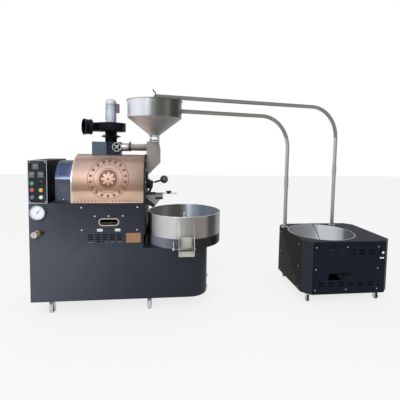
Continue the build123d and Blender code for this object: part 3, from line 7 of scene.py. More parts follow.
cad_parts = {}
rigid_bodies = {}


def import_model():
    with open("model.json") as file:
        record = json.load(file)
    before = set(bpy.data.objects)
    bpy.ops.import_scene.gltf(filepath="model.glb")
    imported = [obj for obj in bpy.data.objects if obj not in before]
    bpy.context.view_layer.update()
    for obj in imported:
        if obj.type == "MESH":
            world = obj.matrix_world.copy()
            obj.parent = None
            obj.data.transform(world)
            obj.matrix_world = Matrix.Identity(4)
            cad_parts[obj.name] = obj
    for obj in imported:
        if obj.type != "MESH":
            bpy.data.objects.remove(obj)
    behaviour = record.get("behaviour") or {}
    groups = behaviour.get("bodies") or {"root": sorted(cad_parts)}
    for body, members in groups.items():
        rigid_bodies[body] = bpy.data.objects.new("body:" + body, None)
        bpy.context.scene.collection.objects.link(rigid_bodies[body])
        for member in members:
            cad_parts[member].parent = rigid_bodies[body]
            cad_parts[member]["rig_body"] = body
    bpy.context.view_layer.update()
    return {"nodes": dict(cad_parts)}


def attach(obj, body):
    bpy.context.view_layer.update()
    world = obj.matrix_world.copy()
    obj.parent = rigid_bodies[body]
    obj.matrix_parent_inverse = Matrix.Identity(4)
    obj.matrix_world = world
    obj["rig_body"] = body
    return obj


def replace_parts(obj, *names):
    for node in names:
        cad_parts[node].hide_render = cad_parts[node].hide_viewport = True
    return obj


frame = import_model()

# ------------------------------------------------ cabinet and frame
# Folded sheet steel on a welded tube frame, powder coated in a satin blue-black.
# The counter plate under the drum and the deck under the cooling tray are screwed on.
CORNER_X, CORNER_Y = 1555, 318.5    # the model's middle, off the cabinet's front left corner, in millimetres
AXIS_Y = 262                        # the drum, fan, hopper and cooling tray stand on this line
CABINET_LENGTH, SHADE_RAMP_HEIGHT = 1.425, 0.93    # the run of the cabinet coat's two ramps, in metres


def at(x, y, z):
    """A point in metres from millimetres off the cabinet's front left corner on the floor."""
    return Vector(((x - CORNER_X) / 1000, (y - CORNER_Y) / 1000, z / 1000))


def tone(red, green, blue):
    """A paint chip's 0 to 255 values as the linear colour a shader takes."""
    parts = [c / 255 for c in (red, green, blue)]
    return [c / 12.92 if c < 0.04045 else ((c + 0.055) / 1.055) ** 2.4 for c in parts] + [1]


class Wire:
    """A socket in a finish. Python's operators on it add Math nodes."""

    def __init__(self, finish, socket):
        self.finish, self.socket = finish, socket

    def math(self, operation, *others):
        return self.finish.node("Math", {"operation": operation}, dict(enumerate((self, *others))))

    def __add__(self, other): return self.math("ADD", other)
    def __sub__(self, other): return self.math("SUBTRACT", other)
    def __mul__(self, other): return self.math("MULTIPLY", other)
    def __truediv__(self, other): return self.math("DIVIDE", other)
    def __lt__(self, other): return self.math("LESS_THAN", other)
    def __gt__(self, other): return self.math("GREATER_THAN", other)
    def __rsub__(self, other): return self.finish.node("Math", {"operation": "SUBTRACT"}, {0: other, 1: self})
    __radd__, __rmul__ = __add__, __mul__


class Finish:
    """A surface finish: one material with its nodes, and its patterns in metres on the piece."""

    def __init__(self, name, **steady):
        self.material = bpy.data.materials.new(name)
        self.material.use_nodes = True
        self.tree = self.material.node_tree
        self.shader = self.tree.nodes["Principled BSDF"]
        for socket, value in steady.items():
            self.shader.inputs[socket.replace("_", " ")].default_value = value

    def node(self, kind, settings, values, output=0):
        made = self.tree.nodes.new("ShaderNode" + kind)
        for key, value in settings.items():
            if key == "stops":
                ramp = made.color_ramp.elements
                while len(ramp) < len(value):
                    ramp.new(1)
                for stop, (where, colour) in zip(ramp, value):
                    stop.position, stop.color = where, colour
            else:
                setattr(made, key, value)
        for key, value in values.items():
            if isinstance(value, Wire):
                self.tree.links.new(value.socket, made.inputs[key])
            else:
                made.inputs[key].default_value = value
        return Wire(self, made.outputs[output])

    def place(self, centre=(0, 0, 0), size=(1, 1, 1)):
        """Points on the piece, measured from a centre and divided by a size."""
        where = self.node("TexCoord", {}, {}, "Object")
        values = {"Vector": where, "Location": centre, "Scale": size}
        return self.node("Mapping", {"vector_type": "TEXTURE"}, values)

    def axes(self, centre=(0, 0, 0)):
        where = self.place(centre)
        return [self.node("SeparateXYZ", {}, {0: where}, n) for n in range(3)]

    def noise(self, scale, size=(1, 1, 1), detail=3):
        where = self.place(size=size)
        return self.node("TexNoise", {}, {"Vector": where, "Scale": scale, "Detail": detail})

    def ramp(self, level, stops):
        return self.node("ValToRGB", {"stops": stops}, {0: level})

    def shades(self, level, stops):
        """A ramp whose stops are given as rows of place, red, green and blue."""
        return self.ramp(level, [(where, tone(*chip)) for where, *chip in stops])

    def mix(self, share, first, second, blend="MIX"):
        kind = {"data_type": "RGBA", "blend_type": blend}
        return self.node("Mix", kind, {0: share, 6: first, 7: second}, 2)

    def reach(self, x, z):
        """The distance from an axis that runs from front to back."""
        across = self.node("CombineXYZ", {}, {0: x, 2: z})
        return self.node("VectorMath", {"operation": "LENGTH"}, {0: across}, 1)

    def relief(self, height, depth):
        """Fine height in the surface, as a bump."""
        bump = self.node("Bump", {}, {"Height": height, "Strength": 0.5, "Distance": depth})
        self.feed("Normal", bump)

    def feed(self, socket, wire):
        self.tree.links.new(wire.socket, self.shader.inputs[socket])


def powder_coat(name, dark, light, roughness, gloss=0.3):
    """Baked powder: a fine orange-peel skin with soft drifts of tone."""
    coat = Finish(name, Specular_IOR_Level=gloss)
    drift = coat.noise(1.6)
    peel = coat.noise(420, detail=2)
    coat.feed("Base Color", coat.mix(drift, dark, light))
    coat.feed("Roughness", peel * 0.12 + (roughness - 0.06))
    coat.relief(peel, 0.0004)
    return coat


LARGE_FACE = 0.005    # square metres, from which a face stays flat


def recoat(node, slot, finish, *zones):
    """A copy of a node, its doubles merged. A zone is a rule on a corner's place in millimetres and its
    face's normal, and the finish of the faces whose corners all keep the rule."""
    form = bmesh.new()
    form.from_mesh(frame["nodes"][node].data)
    bmesh.ops.remove_doubles(form, verts=form.verts, dist=1e-6)
    mesh = bpy.data.meshes.new(node + "_finished")
    mesh.materials.append(finish.material)
    for rule, other in zones:
        mesh.materials.append(other.material)
    for face in form.faces:
        face.material_index, face.smooth = 0, face.calc_area() < LARGE_FACE
        middle = face.calc_center_median()
        corners = [v.co.lerp(middle, 0.1) * 1000 + Vector((CORNER_X, CORNER_Y, 0)) for v in face.verts]
        for number, (rule, other) in enumerate(zones, 1):
            if all(rule(corner, face.normal) for corner in corners):
                face.material_index = number
    form.to_mesh(mesh)
    form.free()
    for facing, way in (("skyward", Vector((0, 0, 1))), ("leftward", Vector((-1, 0, 0)))):
        shares = mesh.attributes.new(facing, "FLOAT", "POINT")
        shares.data.foreach_set("value", [v.normal.dot(way) for v in mesh.vertices])
    mesh.set_sharp_from_angle(angle=math.radians(32))
    made = bpy.data.objects.new(node + "_finished", mesh)
    bpy.context.scene.collection.objects.link(made)
    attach(made, frame["nodes"][node]["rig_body"])
    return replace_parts(made, node)


# The cabinet coat carries painted shade: it darkens from left to right along the cabinet, and by height it is
# darkest at the top and a little darker at the foot.
cabinet_coat = Finish("cabinet_coat", Specular_IOR_Level=0.25)
across, _, height = cabinet_coat.axes(at(0, 0, 0))
painted_shade_across = cabinet_coat.shades(across / CABINET_LENGTH + 0.02 * cabinet_coat.noise(2), [
    (0, 80, 84, 94), (0.2, 74, 79, 90), (0.45, 54, 59, 70), (0.6, 42, 47, 58), (1, 22, 26, 38)])
painted_height_shade = cabinet_coat.ramp(height / SHADE_RAMP_HEIGHT, [
    (0, (0.76, 0.76, 0.76, 1)), (0.33, (0.9, 0.9, 0.9, 1)), (0.55, (1, 1, 1, 1)), (0.8, (0.56, 0.57, 0.6, 1)),
    (1, (0.26, 0.28, 0.32, 1))])
painted_shade_across = cabinet_coat.mix((across * 4).math("MINIMUM", 1.0), painted_shade_across, painted_height_shade, "MULTIPLY")
dust = cabinet_coat.noise(9, size=(1, 1, 2), detail=6)
cabinet_coat.feed("Base Color", cabinet_coat.mix(dust * 0.1, painted_shade_across, tone(84, 87, 97)))
peel = cabinet_coat.noise(420, detail=2)
cabinet_coat.feed("Roughness", peel * 0.1 + dust * 0.12 + 0.36)
cabinet_coat.relief(peel, 0.0004)
black_coat = powder_coat("black_coat", tone(16, 17, 24), tone(27, 28, 38), 0.42)
# A near-black for the cabinet's right side above the deck, beside the tray: painted shade for that shadowed
# side.
shade_paint = Finish("painted_shade_black", Roughness=0.9, Specular_IOR_Level=0.05)
shade_paint.feed("Base Color", shade_paint.mix(shade_paint.noise(12, detail=5), tone(10, 11, 20), tone(20, 22, 32)))
beside_tray = lambda p, n: n.x > 0.9 and p.z > 549 and p.x < 890
recoat("cabinet_shell", "cabinet_paint", cabinet_coat, (beside_tray, shade_paint))
recoat("deck_plates", "cabinet_paint", cabinet_coat)
recoat("service_panel", "cabinet_paint", cabinet_coat)
recoat("base_frame", "black_paint", black_coat)


def piece(name, form, finish, body="machine", stands_for=(), smooth=35):
    """A finished form as one object on its body."""
    bmesh.ops.remove_doubles(form, verts=form.verts, dist=1e-6)
    bmesh.ops.dissolve_degenerate(form, edges=form.edges, dist=1e-7)
    bmesh.ops.recalc_face_normals(form, faces=form.faces)
    mesh = bpy.data.meshes.new(name)
    for face in form.faces:
        face.smooth = True
    form.to_mesh(mesh)
    form.free()
    mesh.materials.append(finish.material)
    mesh.set_sharp_from_angle(angle=math.radians(smooth))
    made = bpy.data.objects.new(name, mesh)
    bpy.context.scene.collection.objects.link(made)
    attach(made, body)
    if stands_for:
        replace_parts(made, *stands_for)
    return made


def bar(form, x0, x1, y0, y1, z0, z1, edge=0.0):
    """A block between machine millimetres, with its edges rounded."""
    low, high = at(x0, y0, z0), at(x1, y1, z1)
    size = high - low
    made = bmesh.ops.create_cube(form, size=1,
                                 matrix=Matrix.Translation((low + high) / 2) @ Matrix.Diagonal((*size, 1)))
    if edge:
        edges = {e for v in made["verts"] for e in v.link_edges}
        bmesh.ops.bevel(form, geom=list(edges), offset=edge / 1000, segments=3, profile=0.5,
                        affect="EDGES", material=-1)


# ------------------------------------------------ shade strip
# A matt black upright strip on the deck plate, against the cabinet's right side and behind the cooling tray:
# a dark piece put in as painted shade for the gap between them.
form = bmesh.new()
bar(form, 862, 902, 484, 494, 548, 860, 1)
piece("shade_strip", form, shade_paint)

# ------------------------------------------------ side latches
# Two short zinc latches hold the right-hand end panel, one above the other.


def patched(name, scale, dark, light, **steady):
    """A plain finish: two close tones in soft patches."""
    plain = Finish(name, **steady)
    plain.feed("Base Color", plain.mix(plain.noise(scale), tone(*dark), tone(*light)))
    return plain


zinc = Finish("zinc_plate", Metallic=1.0)
grain = zinc.noise(60, detail=4)
zinc.feed("Base Color", zinc.mix(grain, tone(186, 188, 194), tone(214, 216, 222)))
zinc.feed("Roughness", grain * 0.15 + 0.25)
latch_zinc = patched("latch_zinc", 60, (196, 197, 200), (226, 227, 230), Metallic=0.4, Roughness=0.4)
form = bmesh.new()
for z in (244, 146):
    bar(form, 1420, 1432, 150, 178, z - 17, z + 17, 3)
    bar(form, 1430, 1437, 158, 170, z - 9, z + 9, 2)
piece("side_latches", form, latch_zinc)

# ------------------------------------------------ burner panel
# A flat cover over the burner bay: a pressed steel ring round the sight slot, pan screws,
# two small bare plates below it and a cream plate beside the louvres.
ring_steel = patched("ring_steel", 40, (170, 158, 140), (222, 214, 200), Metallic=1.0, Roughness=0.22)
bare_plate = patched("bare_plate", 90, (196, 200, 206), (222, 224, 228), Roughness=0.4)
cream_plate = patched("cream_plate", 14, (128, 84, 50), (176, 138, 104), Roughness=0.35)
PROUD = -2.01    # what stands past a cover's face has its corners in front of this
in_ring = lambda p, n: p.y < PROUD and abs(p.x - 609) < 88 and abs(p.z - 768) < 38
in_screw = lambda p, n: p.y < PROUD and (p.z > 807 or p.z < 716 and (p.x < 412 or p.x > 818))
in_bare = lambda p, n: p.y < -1.99 and 691 < p.z < 715 and 500 < p.x < 700
in_cream = lambda p, n: p.z < 677 and p.y < 0
recoat("burner_panel", "cabinet_paint", cabinet_coat, (in_bare, bare_plate), (in_ring, ring_steel),
       (in_screw, zinc), (in_cream, cream_plate))

# ------------------------------------------------ gas burner
# Three stainless flame tubes on a manifold, straw-coloured where the heat has reached them.
heated = Finish("heated_steel", Metallic=1.0)
heat = heated.noise(7, detail=5)
heated.feed("Base Color", heated.shades(heat, [
    (0.25, 120, 104, 80), (0.5, 168, 156, 130), (0.75, 96, 96, 110)]))
heated.feed("Roughness", heat * 0.3 + 0.25)
recoat("gas_burner", "satin_steel", heated)

# ------------------------------------------------ gas pressure gauge
# A round steel case with a rolled bezel, a white dial with plain division marks and a black pointer.


def absorb(form, other):
    """Adds one form to another and frees it."""
    spare = bpy.data.meshes.new("spare")
    other.to_mesh(spare)
    other.free()
    form.from_mesh(spare)
    bpy.data.meshes.remove(spare)


def lathe(form, outline, centre, axis=(0, 0, 1), steps=96):
    """Turns an outline of (radius, distance along the axis) in millimetres about an axis."""
    turned = bmesh.new()
    points = [turned.verts.new((r / 1000, 0, h / 1000)) for r, h in outline]
    edges = [turned.edges.new(pair) for pair in zip(points, points[1:])]
    bmesh.ops.spin(turned, geom=points + edges, cent=(0, 0, 0), axis=(0, 0, 1), dvec=(0, 0, 0),
                   angle=math.tau, steps=steps, use_merge=True, use_duplicate=False)
    tilt = Vector((0, 0, 1)).rotation_difference(Vector(axis)).to_matrix().to_4x4()
    bmesh.ops.transform(turned, matrix=Matrix.Translation(centre) @ tilt, verts=turned.verts)
    absorb(form, turned)


GAUGE = at(76, 0, 852)
TO_FRONT = (0, -1, 0)
case_steel = patched("case_steel", 30, (150, 158, 170), (206, 212, 220), Metallic=1.0, Roughness=0.24)
form = bmesh.new()
lathe(form, [(0, 0), (50, 0), (52, 4), (52, 27), (56, 29), (57, 33), (57, 36), (55, 38), (52.5, 38),
             (50.5, 36), (50.5, 31), (0, 31)], GAUGE, TO_FRONT)
piece("gauge_case", form, case_steel, stands_for=("pressure_gauge",))
dial_white = Finish("dial_white", Roughness=0.3, Coat_Weight=0.6, Coat_Roughness=0.08)
x, _, z = dial_white.axes(GAUGE)
reach = dial_white.reach(x, z)
turn = x.math("ARCTAN2", z)
step = (turn / math.radians(15) + 0.5).math("FRACT")
marks = ((step - 0.5).math("ABSOLUTE") < 0.06) * (reach > 0.037) * (reach < 0.045)
dial_white.feed("Base Color", dial_white.mix(marks * 0.75, tone(240, 244, 252), tone(40, 44, 52)))
form = bmesh.new()
lathe(form, [(0, 31.2), (50, 31.2), (50, 31.8), (0, 31.8)], GAUGE, TO_FRONT)
piece("gauge_dial", form, dial_white)
pointer_black = powder_coat("pointer_black", tone(14, 14, 16), tone(24, 24, 26), 0.4)
form = bmesh.new()
bmesh.ops.create_cone(form, cap_ends=True, segments=4, radius1=0.0018, radius2=0.0005, depth=0.048,
                      matrix=Matrix.Translation(GAUGE + Vector((0.0125, -0.0335, 0.0125)))
                      @ Matrix.Rotation(math.radians(45), 4, "Y"))
lathe(form, [(0, 31), (4.5, 31), (4.5, 34.5), (3.5, 35.5), (0, 35.5)], GAUGE, TO_FRONT, 24)
piece("gauge_pointer", form, pointer_black)

# ------------------------------------------------ gas valve
# A cast brass body with a black side branch, and a fluted hand knob with a black pointer.
brass = Finish("cast_brass", Metallic=1.0)
cast = brass.noise(55, detail=5)
brass.feed("Base Color", brass.mix(cast, tone(150, 112, 74), tone(206, 170, 120)))
brass.feed("Roughness", cast * 0.3 + 0.28)
brass.relief(cast, 0.0006)
in_branch = lambda p, n: p.x > 94
recoat("gas_valve", "brass", brass, (in_branch, black_coat))
knob_metal = patched("knob_metal", 24, (186, 172, 158), (228, 220, 210), Metallic=0.9, Roughness=0.34)
on_pointer = lambda p, n: p.y < -52.4
recoat("gas_valve_knob", "zinc", knob_metal, (on_pointer, black_coat))

# ------------------------------------------------ control box and panel
# A narrow sheet box at the left end with a black face plate in a light raised frame.
box_black = powder_coat("box_black", tone(2, 4, 10), tone(7, 11, 20), 0.55, 0.1)
recoat("control_box", "black_paint", box_black)
face_black = powder_coat("face_black", tone(20, 24, 26), tone(30, 34, 36), 0.3)
frame_grey = patched("frame_grey", 30, (150, 154, 160), (186, 190, 196), Metallic=0.7, Roughness=0.35)
on_frame = lambda p, n: p.y < PROUD and (p.x < 6 or p.x > 136 or p.z < 926 or p.z > 1249)
on_screw = lambda p, n: p.y < PROUD and (p.x < 20 or p.x > 122) and (p.z < 940 or p.z > 1235)
recoat("control_panel", "panel_black", face_black, (on_screw, zinc), (on_frame, frame_grey))

# ------------------------------------------------ display and controllers
# Three square meters in dark bezels, each with a pale grey-green window and a row of soft keys.
meter = patched("meter_plastic", 60, (66, 70, 72), (84, 88, 90), Roughness=0.42)
recoat("panel_instruments", "instrument_plastic", meter)
window = patched("meter_window", 22, (104, 112, 108), (134, 142, 136), Roughness=0.18)
key_grey = patched("key_grey", 80, (140, 144, 146), (164, 168, 170), Roughness=0.5)
glass_form, key_form = bmesh.new(), bmesh.new()
for x, z in ((59, 1209), (30, 1145), (97, 1145)):
    bar(glass_form, x - 17, x + 17, -6.9, -6.2, z - 2, z + 17, 0.3)
    for step in range(4):
        key_x = x - 15.5 + step * 8.6
        bar(key_form, key_x, key_x + 5.4, -7.4, -6.2, z - 15, z - 9.5, 0.5)
piece("meter_windows", glass_form, window)
piece("meter_keys", key_form, key_grey)

# ------------------------------------------------ push buttons and selector
# Moulded caps with a soft crown in chromed collars, and a black turning switch with a white mark.
chrome = patched("collar_chrome", 50, (178, 182, 190), (226, 228, 232), Metallic=1.0, Roughness=0.12)
BUTTONS = (("start", "green_cap", 32, 1077, (34, 142, 104)),
           ("stop", "red_cap", 32, 1025, (196, 48, 62)),
           ("burner", "yellow_cap", 98, 1025, (216, 166, 42)),
           ("fan", "blue_cap", 32, 969, (38, 110, 152)),
           ("cooling", "white_cap", 98, 969, (214, 228, 220)))
collars = bmesh.new()
for name, slot, x, z, colour in BUTTONS:
    pale = [min(255, c + 22) for c in colour]
    plastic = patched(name + "_plastic", 35, colour, pale, Roughness=0.25, Coat_Weight=0.5,
                      Coat_Roughness=0.1)
    form = bmesh.new()
    lathe(form, [(0, -30), (10.9, -30), (10.9, 6.3), (14, 6.3), (14, 15), (13.2, 17), (11, 18.2),
                 (6, 18.8), (0, 19)], at(x, 0, z), TO_FRONT, 40)
    piece(name + "_cap", form, plastic, name + "_button", ("button_" + name,))
    lathe(collars, [(14.4, 2), (17.5, 2), (17.5, 5), (16.6, 9), (15.6, 10.5), (14.8, 10.5), (14.4, 9),
                    (14.4, 2)], at(x, 0, z), TO_FRONT, 40)
lathe(collars, [(16.4, 2), (18.4, 2), (18.4, 4), (17.6, 5.6), (16.8, 5.6), (16.4, 5), (16.4, 2)],
      at(98, 0, 1077), TO_FRONT, 40)
piece("button_collars", collars, chrome)
switch_black = powder_coat("switch_black", tone(18, 18, 20), tone(30, 30, 34), 0.35)
mark_white = patched("mark_white", 60, (222, 222, 222), (240, 240, 240), Roughness=0.4)
on_mark = lambda p, n: p.y < -23.2 and p.z > 1077
recoat("selector_switch", "black_plastic", switch_black, (on_mark, mark_white))

# ------------------------------------------------ drum housing
# A bent sheet of brushed rose copper over the drum, with a bright bead along its left edge.
# Its front carries an etched medallion: a petal rosette in a brown disc inside plain rings.
MEDALLION = at(601, 0, 1113)
AXIS_Z = 1049    # the drum turns at this height
copper = Finish("rose_copper", Specular_IOR_Level=0.4)
x, y, z = copper.axes(MEDALLION)
brushed = copper.noise(30, size=(0.02, 1, 1), detail=5)
height = (z + 0.193) / 0.386    # 0 at the front's foot, 1 at the top of the sheet
# The sheet's colour carries painted reflection and shade: light and dark bands by height, with a dark band
# below the middle, and ends darkened towards the right.
painted_light_bands = copper.shades(height + 0.02 * brushed, [
    (0, 206, 166, 142), (0.05, 232, 194, 168), (0.18, 232, 192, 166), (0.24, 212, 172, 146),
    (0.275, 146, 108, 86), (0.37, 150, 112, 90), (0.43, 172, 136, 116), (0.55, 196, 160, 144),
    (0.68, 206, 172, 158), (0.8, 196, 164, 152), (0.9, 172, 140, 126), (0.96, 204, 176, 164),
    (1, 120, 92, 80)])
across = (x + 0.285) / 0.564    # 0 at the sheet's left edge, 1 at its right
ends = copper.ramp(across, [
    (0, (0.92, 0.94, 0.96, 1)), (0.04, (0.8, 0.85, 0.86, 1)), (0.3, (0.98, 0.98, 1, 1)), (0.55, (1, 1, 1, 1)),
    (0.85, (0.78, 0.78, 0.8, 1)), (0.95, (0.66, 0.68, 0.7, 1)), (1, (0.56, 0.56, 0.58, 1))])
sheet_colour = copper.mix(1.0, painted_light_bands, ends, "MULTIPLY")
# A painted shadow on the middle of the sheet's right part.
to_right = copper.ramp(across, [(0.45, (0, 0, 0, 1)), (0.95, (1, 1, 1, 1))])
waist = copper.ramp(height, [
    (0.28, (0, 0, 0, 1)), (0.46, (1, 1, 1, 1)), (0.56, (1, 1, 1, 1)), (0.8, (0, 0, 0, 1))])
sheet_colour = copper.mix(to_right * waist * 0.8, sheet_colour, tone(76, 52, 34))
sheet_colour = copper.mix(brushed * 0.14, sheet_colour, tone(250, 226, 206))
reach = copper.reach(x, z)
turn = x.math("ARCTAN2", z)
petal = (turn * 4).math("COSINE").math("ABSOLUTE") * 0.03 + 0.026


def between(wire, low, high):
    return (wire > low) * (wire < high)


notch = (turn * 18).math("COSINE")
disc = (reach < 0.072) * (1 - (reach < petal)) + (reach < 0.009)
rings = between(reach, 0.079, 0.083) + between(reach, 0.158, 0.163)
teeth = between(reach, 0.126, 0.15) * (notch > 0.35) + between(reach, 0.11, 0.114)
on_front = y < 0.262
etched = (disc + rings + teeth).math("MINIMUM", 1.0) * on_front
copper.feed("Base Color", copper.mix(etched * 0.85, sheet_colour, tone(104, 62, 44)))
copper.feed("Metallic", 0.35 - etched * 0.15)
copper.feed("Roughness", brushed * 0.14 + 0.36 + etched * 0.1)
copper.relief(brushed - etched * 0.6, 0.0003)
recoat("drum_housing", "copper", copper)
bead_steel = patched("bead_steel", 20, (222, 206, 184), (244, 234, 218), Metallic=0.9, Roughness=0.25)


def arch_band(form, x0, x1, radius, thickness, bottom):
    """A band bent over the drum: straight sides and a half round about the drum's axis."""
    bent = bmesh.new()
    column = [bent.verts.new(at(x0, AXIS_Y - radius, z)) for z in (bottom, AXIS_Z)]
    bent.edges.new(column)
    arc = bmesh.ops.spin(bent, geom=[column[1]], cent=at(x0, AXIS_Y, AXIS_Z), axis=(-1, 0, 0),
                         dvec=(0, 0, 0), angle=math.pi, steps=64, use_merge=False, use_duplicate=False)
    last = [g for g in arc["geom_last"] if isinstance(g, bmesh.types.BMVert)][0]
    bent.edges.new((last, bent.verts.new(at(x0, AXIS_Y + radius, bottom))))
    sides = bmesh.ops.extrude_edge_only(bent, edges=bent.edges[:])
    moved = [g for g in sides["geom"] if isinstance(g, bmesh.types.BMVert)]
    bmesh.ops.translate(bent, vec=((x1 - x0) / 1000, 0, 0), verts=moved)
    bmesh.ops.recalc_face_normals(bent, faces=bent.faces)
    bmesh.ops.solidify(bent, geom=bent.faces[:], thickness=thickness / 1000)
    absorb(form, bent)


form = bmesh.new()
arch_band(form, 314.5, 321, 258, 2.5, 921)
piece("housing_beads", form, bead_steel)

# ------------------------------------------------ drum rear cover
# A hood over the gearmotor in blue-grey flake paint; its colour holds a painted highlight along the front
# fold, and is bluer above it and darker at the top.
cover_coat = Finish("cover_coat", Metallic=0.05, Specular_IOR_Level=0.12)
_, _, z = cover_coat.axes(at(192, 0, 920))
painted_fold_highlight = cover_coat.shades(z / 0.328, [
    (0, 70, 75, 90), (0.2, 70, 75, 90), (0.4, 64, 68, 80), (0.54, 60, 66, 84), (0.57, 96, 108, 138),
    (0.59, 214, 226, 250), (0.604, 214, 226, 250), (0.615, 120, 134, 172), (0.64, 122, 138, 174),
    (0.68, 84, 98, 142), (0.85, 80, 96, 134), (0.95, 58, 66, 98), (1, 40, 44, 60)])
flake = cover_coat.noise(260, detail=2)
cover_coat.feed("Base Color", cover_coat.mix(flake * 0.14, painted_fold_highlight, tone(150, 156, 176)))
cover_coat.feed("Roughness", flake * 0.15 + 0.3)
cover_screws = lambda p, n: p.y < 25.9 and p.z < 955
recoat("drum_rear_cover", "cover_paint", cover_coat, (cover_screws, zinc))

# ------------------------------------------------ front plate, bearings and sight port
# A grey-iron face casting in black stove paint, its bearing cap bolted to the middle.
cast_iron = Finish("black_casting", Specular_IOR_Level=0.15)
sand = cast_iron.noise(160, detail=6)
cast_iron.feed("Base Color", cast_iron.mix(sand, tone(22, 22, 26), tone(46, 46, 50)))
cast_iron.feed("Roughness", sand * 0.3 + 0.42)
cast_iron.relief(sand, 0.0008)
FACE_X = 894    # the casting's front face
off_axis = lambda p: math.hypot(p.y - AXIS_Y, p.z - AXIS_Z)
rim_bolts = lambda p, n: 894.1 < p.x < 901 and abs(p.z - 1060) > 20 and off_axis(p) > 238
recoat("front_plate", "cast_black", cast_iron, (rim_bolts, zinc))
recoat("drum_bearings", "cast_black", cast_iron)
port_glass = patched("port_glass", 18, (196, 208, 204), (222, 230, 226), Roughness=0.06,
                     Transmission_Weight=0.85, IOR=1.47)
PORT_Y, PORT_Z, PORT_SCREWS = 122, 1120, 39.5
TO_RIGHT = (1, 0, 0)
port = at(FACE_X, PORT_Y, PORT_Z)
port_form, glass_form = bmesh.new(), bmesh.new()
lathe(port_form, [(34.5, 0), (44, 0), (44, 8), (42.5, 9), (36, 9), (34.5, 8), (34.5, 0)], port, TO_RIGHT, 48)
for number in range(6):
    angle = math.radians(60 * number + 30)
    screw = at(FACE_X, PORT_Y + PORT_SCREWS * math.cos(angle), PORT_Z + PORT_SCREWS * math.sin(angle))
    lathe(port_form, [(0, 9), (3, 9), (3, 11), (0, 12)], screw, TO_RIGHT, 6)
lathe(glass_form, [(0, 1), (34.2, 1), (34.2, 5), (0, 5)], port, TO_RIGHT, 48)
piece("sight_port", port_form, cast_iron, stands_for=("sight_glass",))
piece("sight_port_glass", glass_form, port_glass)

# ------------------------------------------------ roasting drum and its gearmotor
# A welded steel drum with mixing flights, browned by roasting, driven through a grey gearbox.
browned = Finish("browned_steel", Metallic=0.9)
stain = browned.noise(6, detail=7)
browned.feed("Base Color", browned.shades(stain, [
    (0.3, 70, 54, 42), (0.55, 120, 98, 78), (0.8, 150, 138, 122)]))
browned.feed("Roughness", stain * 0.35 + 0.3)
recoat("roasting_drum", "satin_steel", browned)
motor_enamel = powder_coat("motor_enamel", tone(150, 166, 182), tone(190, 206, 220), 0.35)
recoat("drum_gearmotor", "motor_grey", motor_enamel)

# ------------------------------------------------ bean door, chute and sample tools
# A hinged black door with a ball on its lever, over a folded steel chute with black cheeks, and
# beside them the sample spoon and a small steel shelf.
ball_black = patched("ball_black", 14, (36, 36, 38), (66, 66, 68), Roughness=0.22, Coat_Weight=0.4)
in_ball = lambda p, n: p.x > 966 and p.z > 1050
recoat("bean_door", "cast_black", cast_iron, (in_ball, ball_black))


def satin_steel(name, dark, light, across=(1, 1, 0.04)):
    """Ground stainless: fine parallel scratches with soft patches of tone."""
    steel = Finish(name, Metallic=0.85)
    scratch = steel.noise(60, size=across, detail=5)
    patch = steel.noise(5, detail=3)
    steel.feed("Base Color", steel.mix(scratch * 0.4 + patch * 0.6, dark, light))
    steel.feed("Roughness", scratch * 0.14 + 0.3)
    steel.relief(scratch, 0.0002)
    return steel


chute_steel = satin_steel("chute_steel", tone(120, 118, 116), tone(152, 150, 146))
shelf_steel = satin_steel("shelf_steel", tone(176, 178, 180), tone(222, 224, 226), (0.05, 1, 1))
outside = lambda p, n: abs(p.y - AXIS_Y) > 77.05 or n.z < -0.5
recoat("discharge_chute", "satin_steel", chute_steel, (outside, black_coat))
form = bmesh.new()
bar(form, 970, 1036, 180.5, 185, 922, 943, 1.5)
bar(form, 996, 1012, 178.5, 181, 932, 941, 0.8)
piece("chute_catch", form, switch_black)
spoon = lambda p, n: p.x < 910
knob_or_catch = lambda p, n: p.z > 947.1 or p.z < 943.9 and p.y < 377 and p.x > 959
recoat("trier", "black_plastic", switch_black, (spoon, shelf_steel))
recoat("sample_shelf", "satin_steel", shelf_steel, (knob_or_catch, switch_black))

# ------------------------------------------------ hopper
# Spun stainless: a straight wall on a cone with a turned-over rim, its colour painted with bright and
# dark upright bands of reflection. The lid is a low cone with a boss for the feed tube.


def painted_reflections(finish, centre, stops):
    """Painted reflections: a ramp of bright and dark bands once round an upright axis, from the left side by
    the front to the right.
    """
    x, y, _ = finish.axes(centre)
    turn = y.math("ARCTAN2", x) / math.tau + 0.5
    return finish.shades(turn + 0.004 * finish.noise(4), stops)


HOPPER_X = 960
HOPPER = at(HOPPER_X, AXIS_Y, 0)
wall_polish = Finish("hopper_polish", Metallic=0.3, Specular_IOR_Level=0.3)
painted_wall_reflections = painted_reflections(wall_polish, HOPPER, [
    (0, 176, 172, 170), (0.05, 190, 188, 188), (0.09, 222, 224, 228), (0.16, 228, 230, 238),
    (0.186, 214, 216, 222), (0.21, 190, 194, 200), (0.225, 156, 160, 162), (0.24, 98, 102, 102),
    (0.257, 76, 80, 78), (0.28, 68, 72, 70), (0.304, 70, 74, 66), (0.318, 92, 94, 84),
    (0.332, 98, 100, 90), (0.345, 70, 72, 64), (0.357, 48, 48, 42), (0.388, 26, 24, 22),
    (0.41, 40, 38, 36), (0.43, 78, 76, 72), (0.5, 90, 88, 86), (0.62, 150, 150, 150),
    (0.75, 192, 194, 198), (0.86, 132, 132, 132), (1, 176, 172, 170)])
rubbed = wall_polish.noise(90, size=(1, 1, 0.03), detail=4)
wall_polish.feed("Base Color", wall_polish.mix(rubbed * 0.03, painted_wall_reflections, tone(236, 236, 236)))
wall_polish.feed("Roughness", rubbed * 0.1 + 0.22)
cone_satin = Finish("cone_satin", Metallic=0.3)
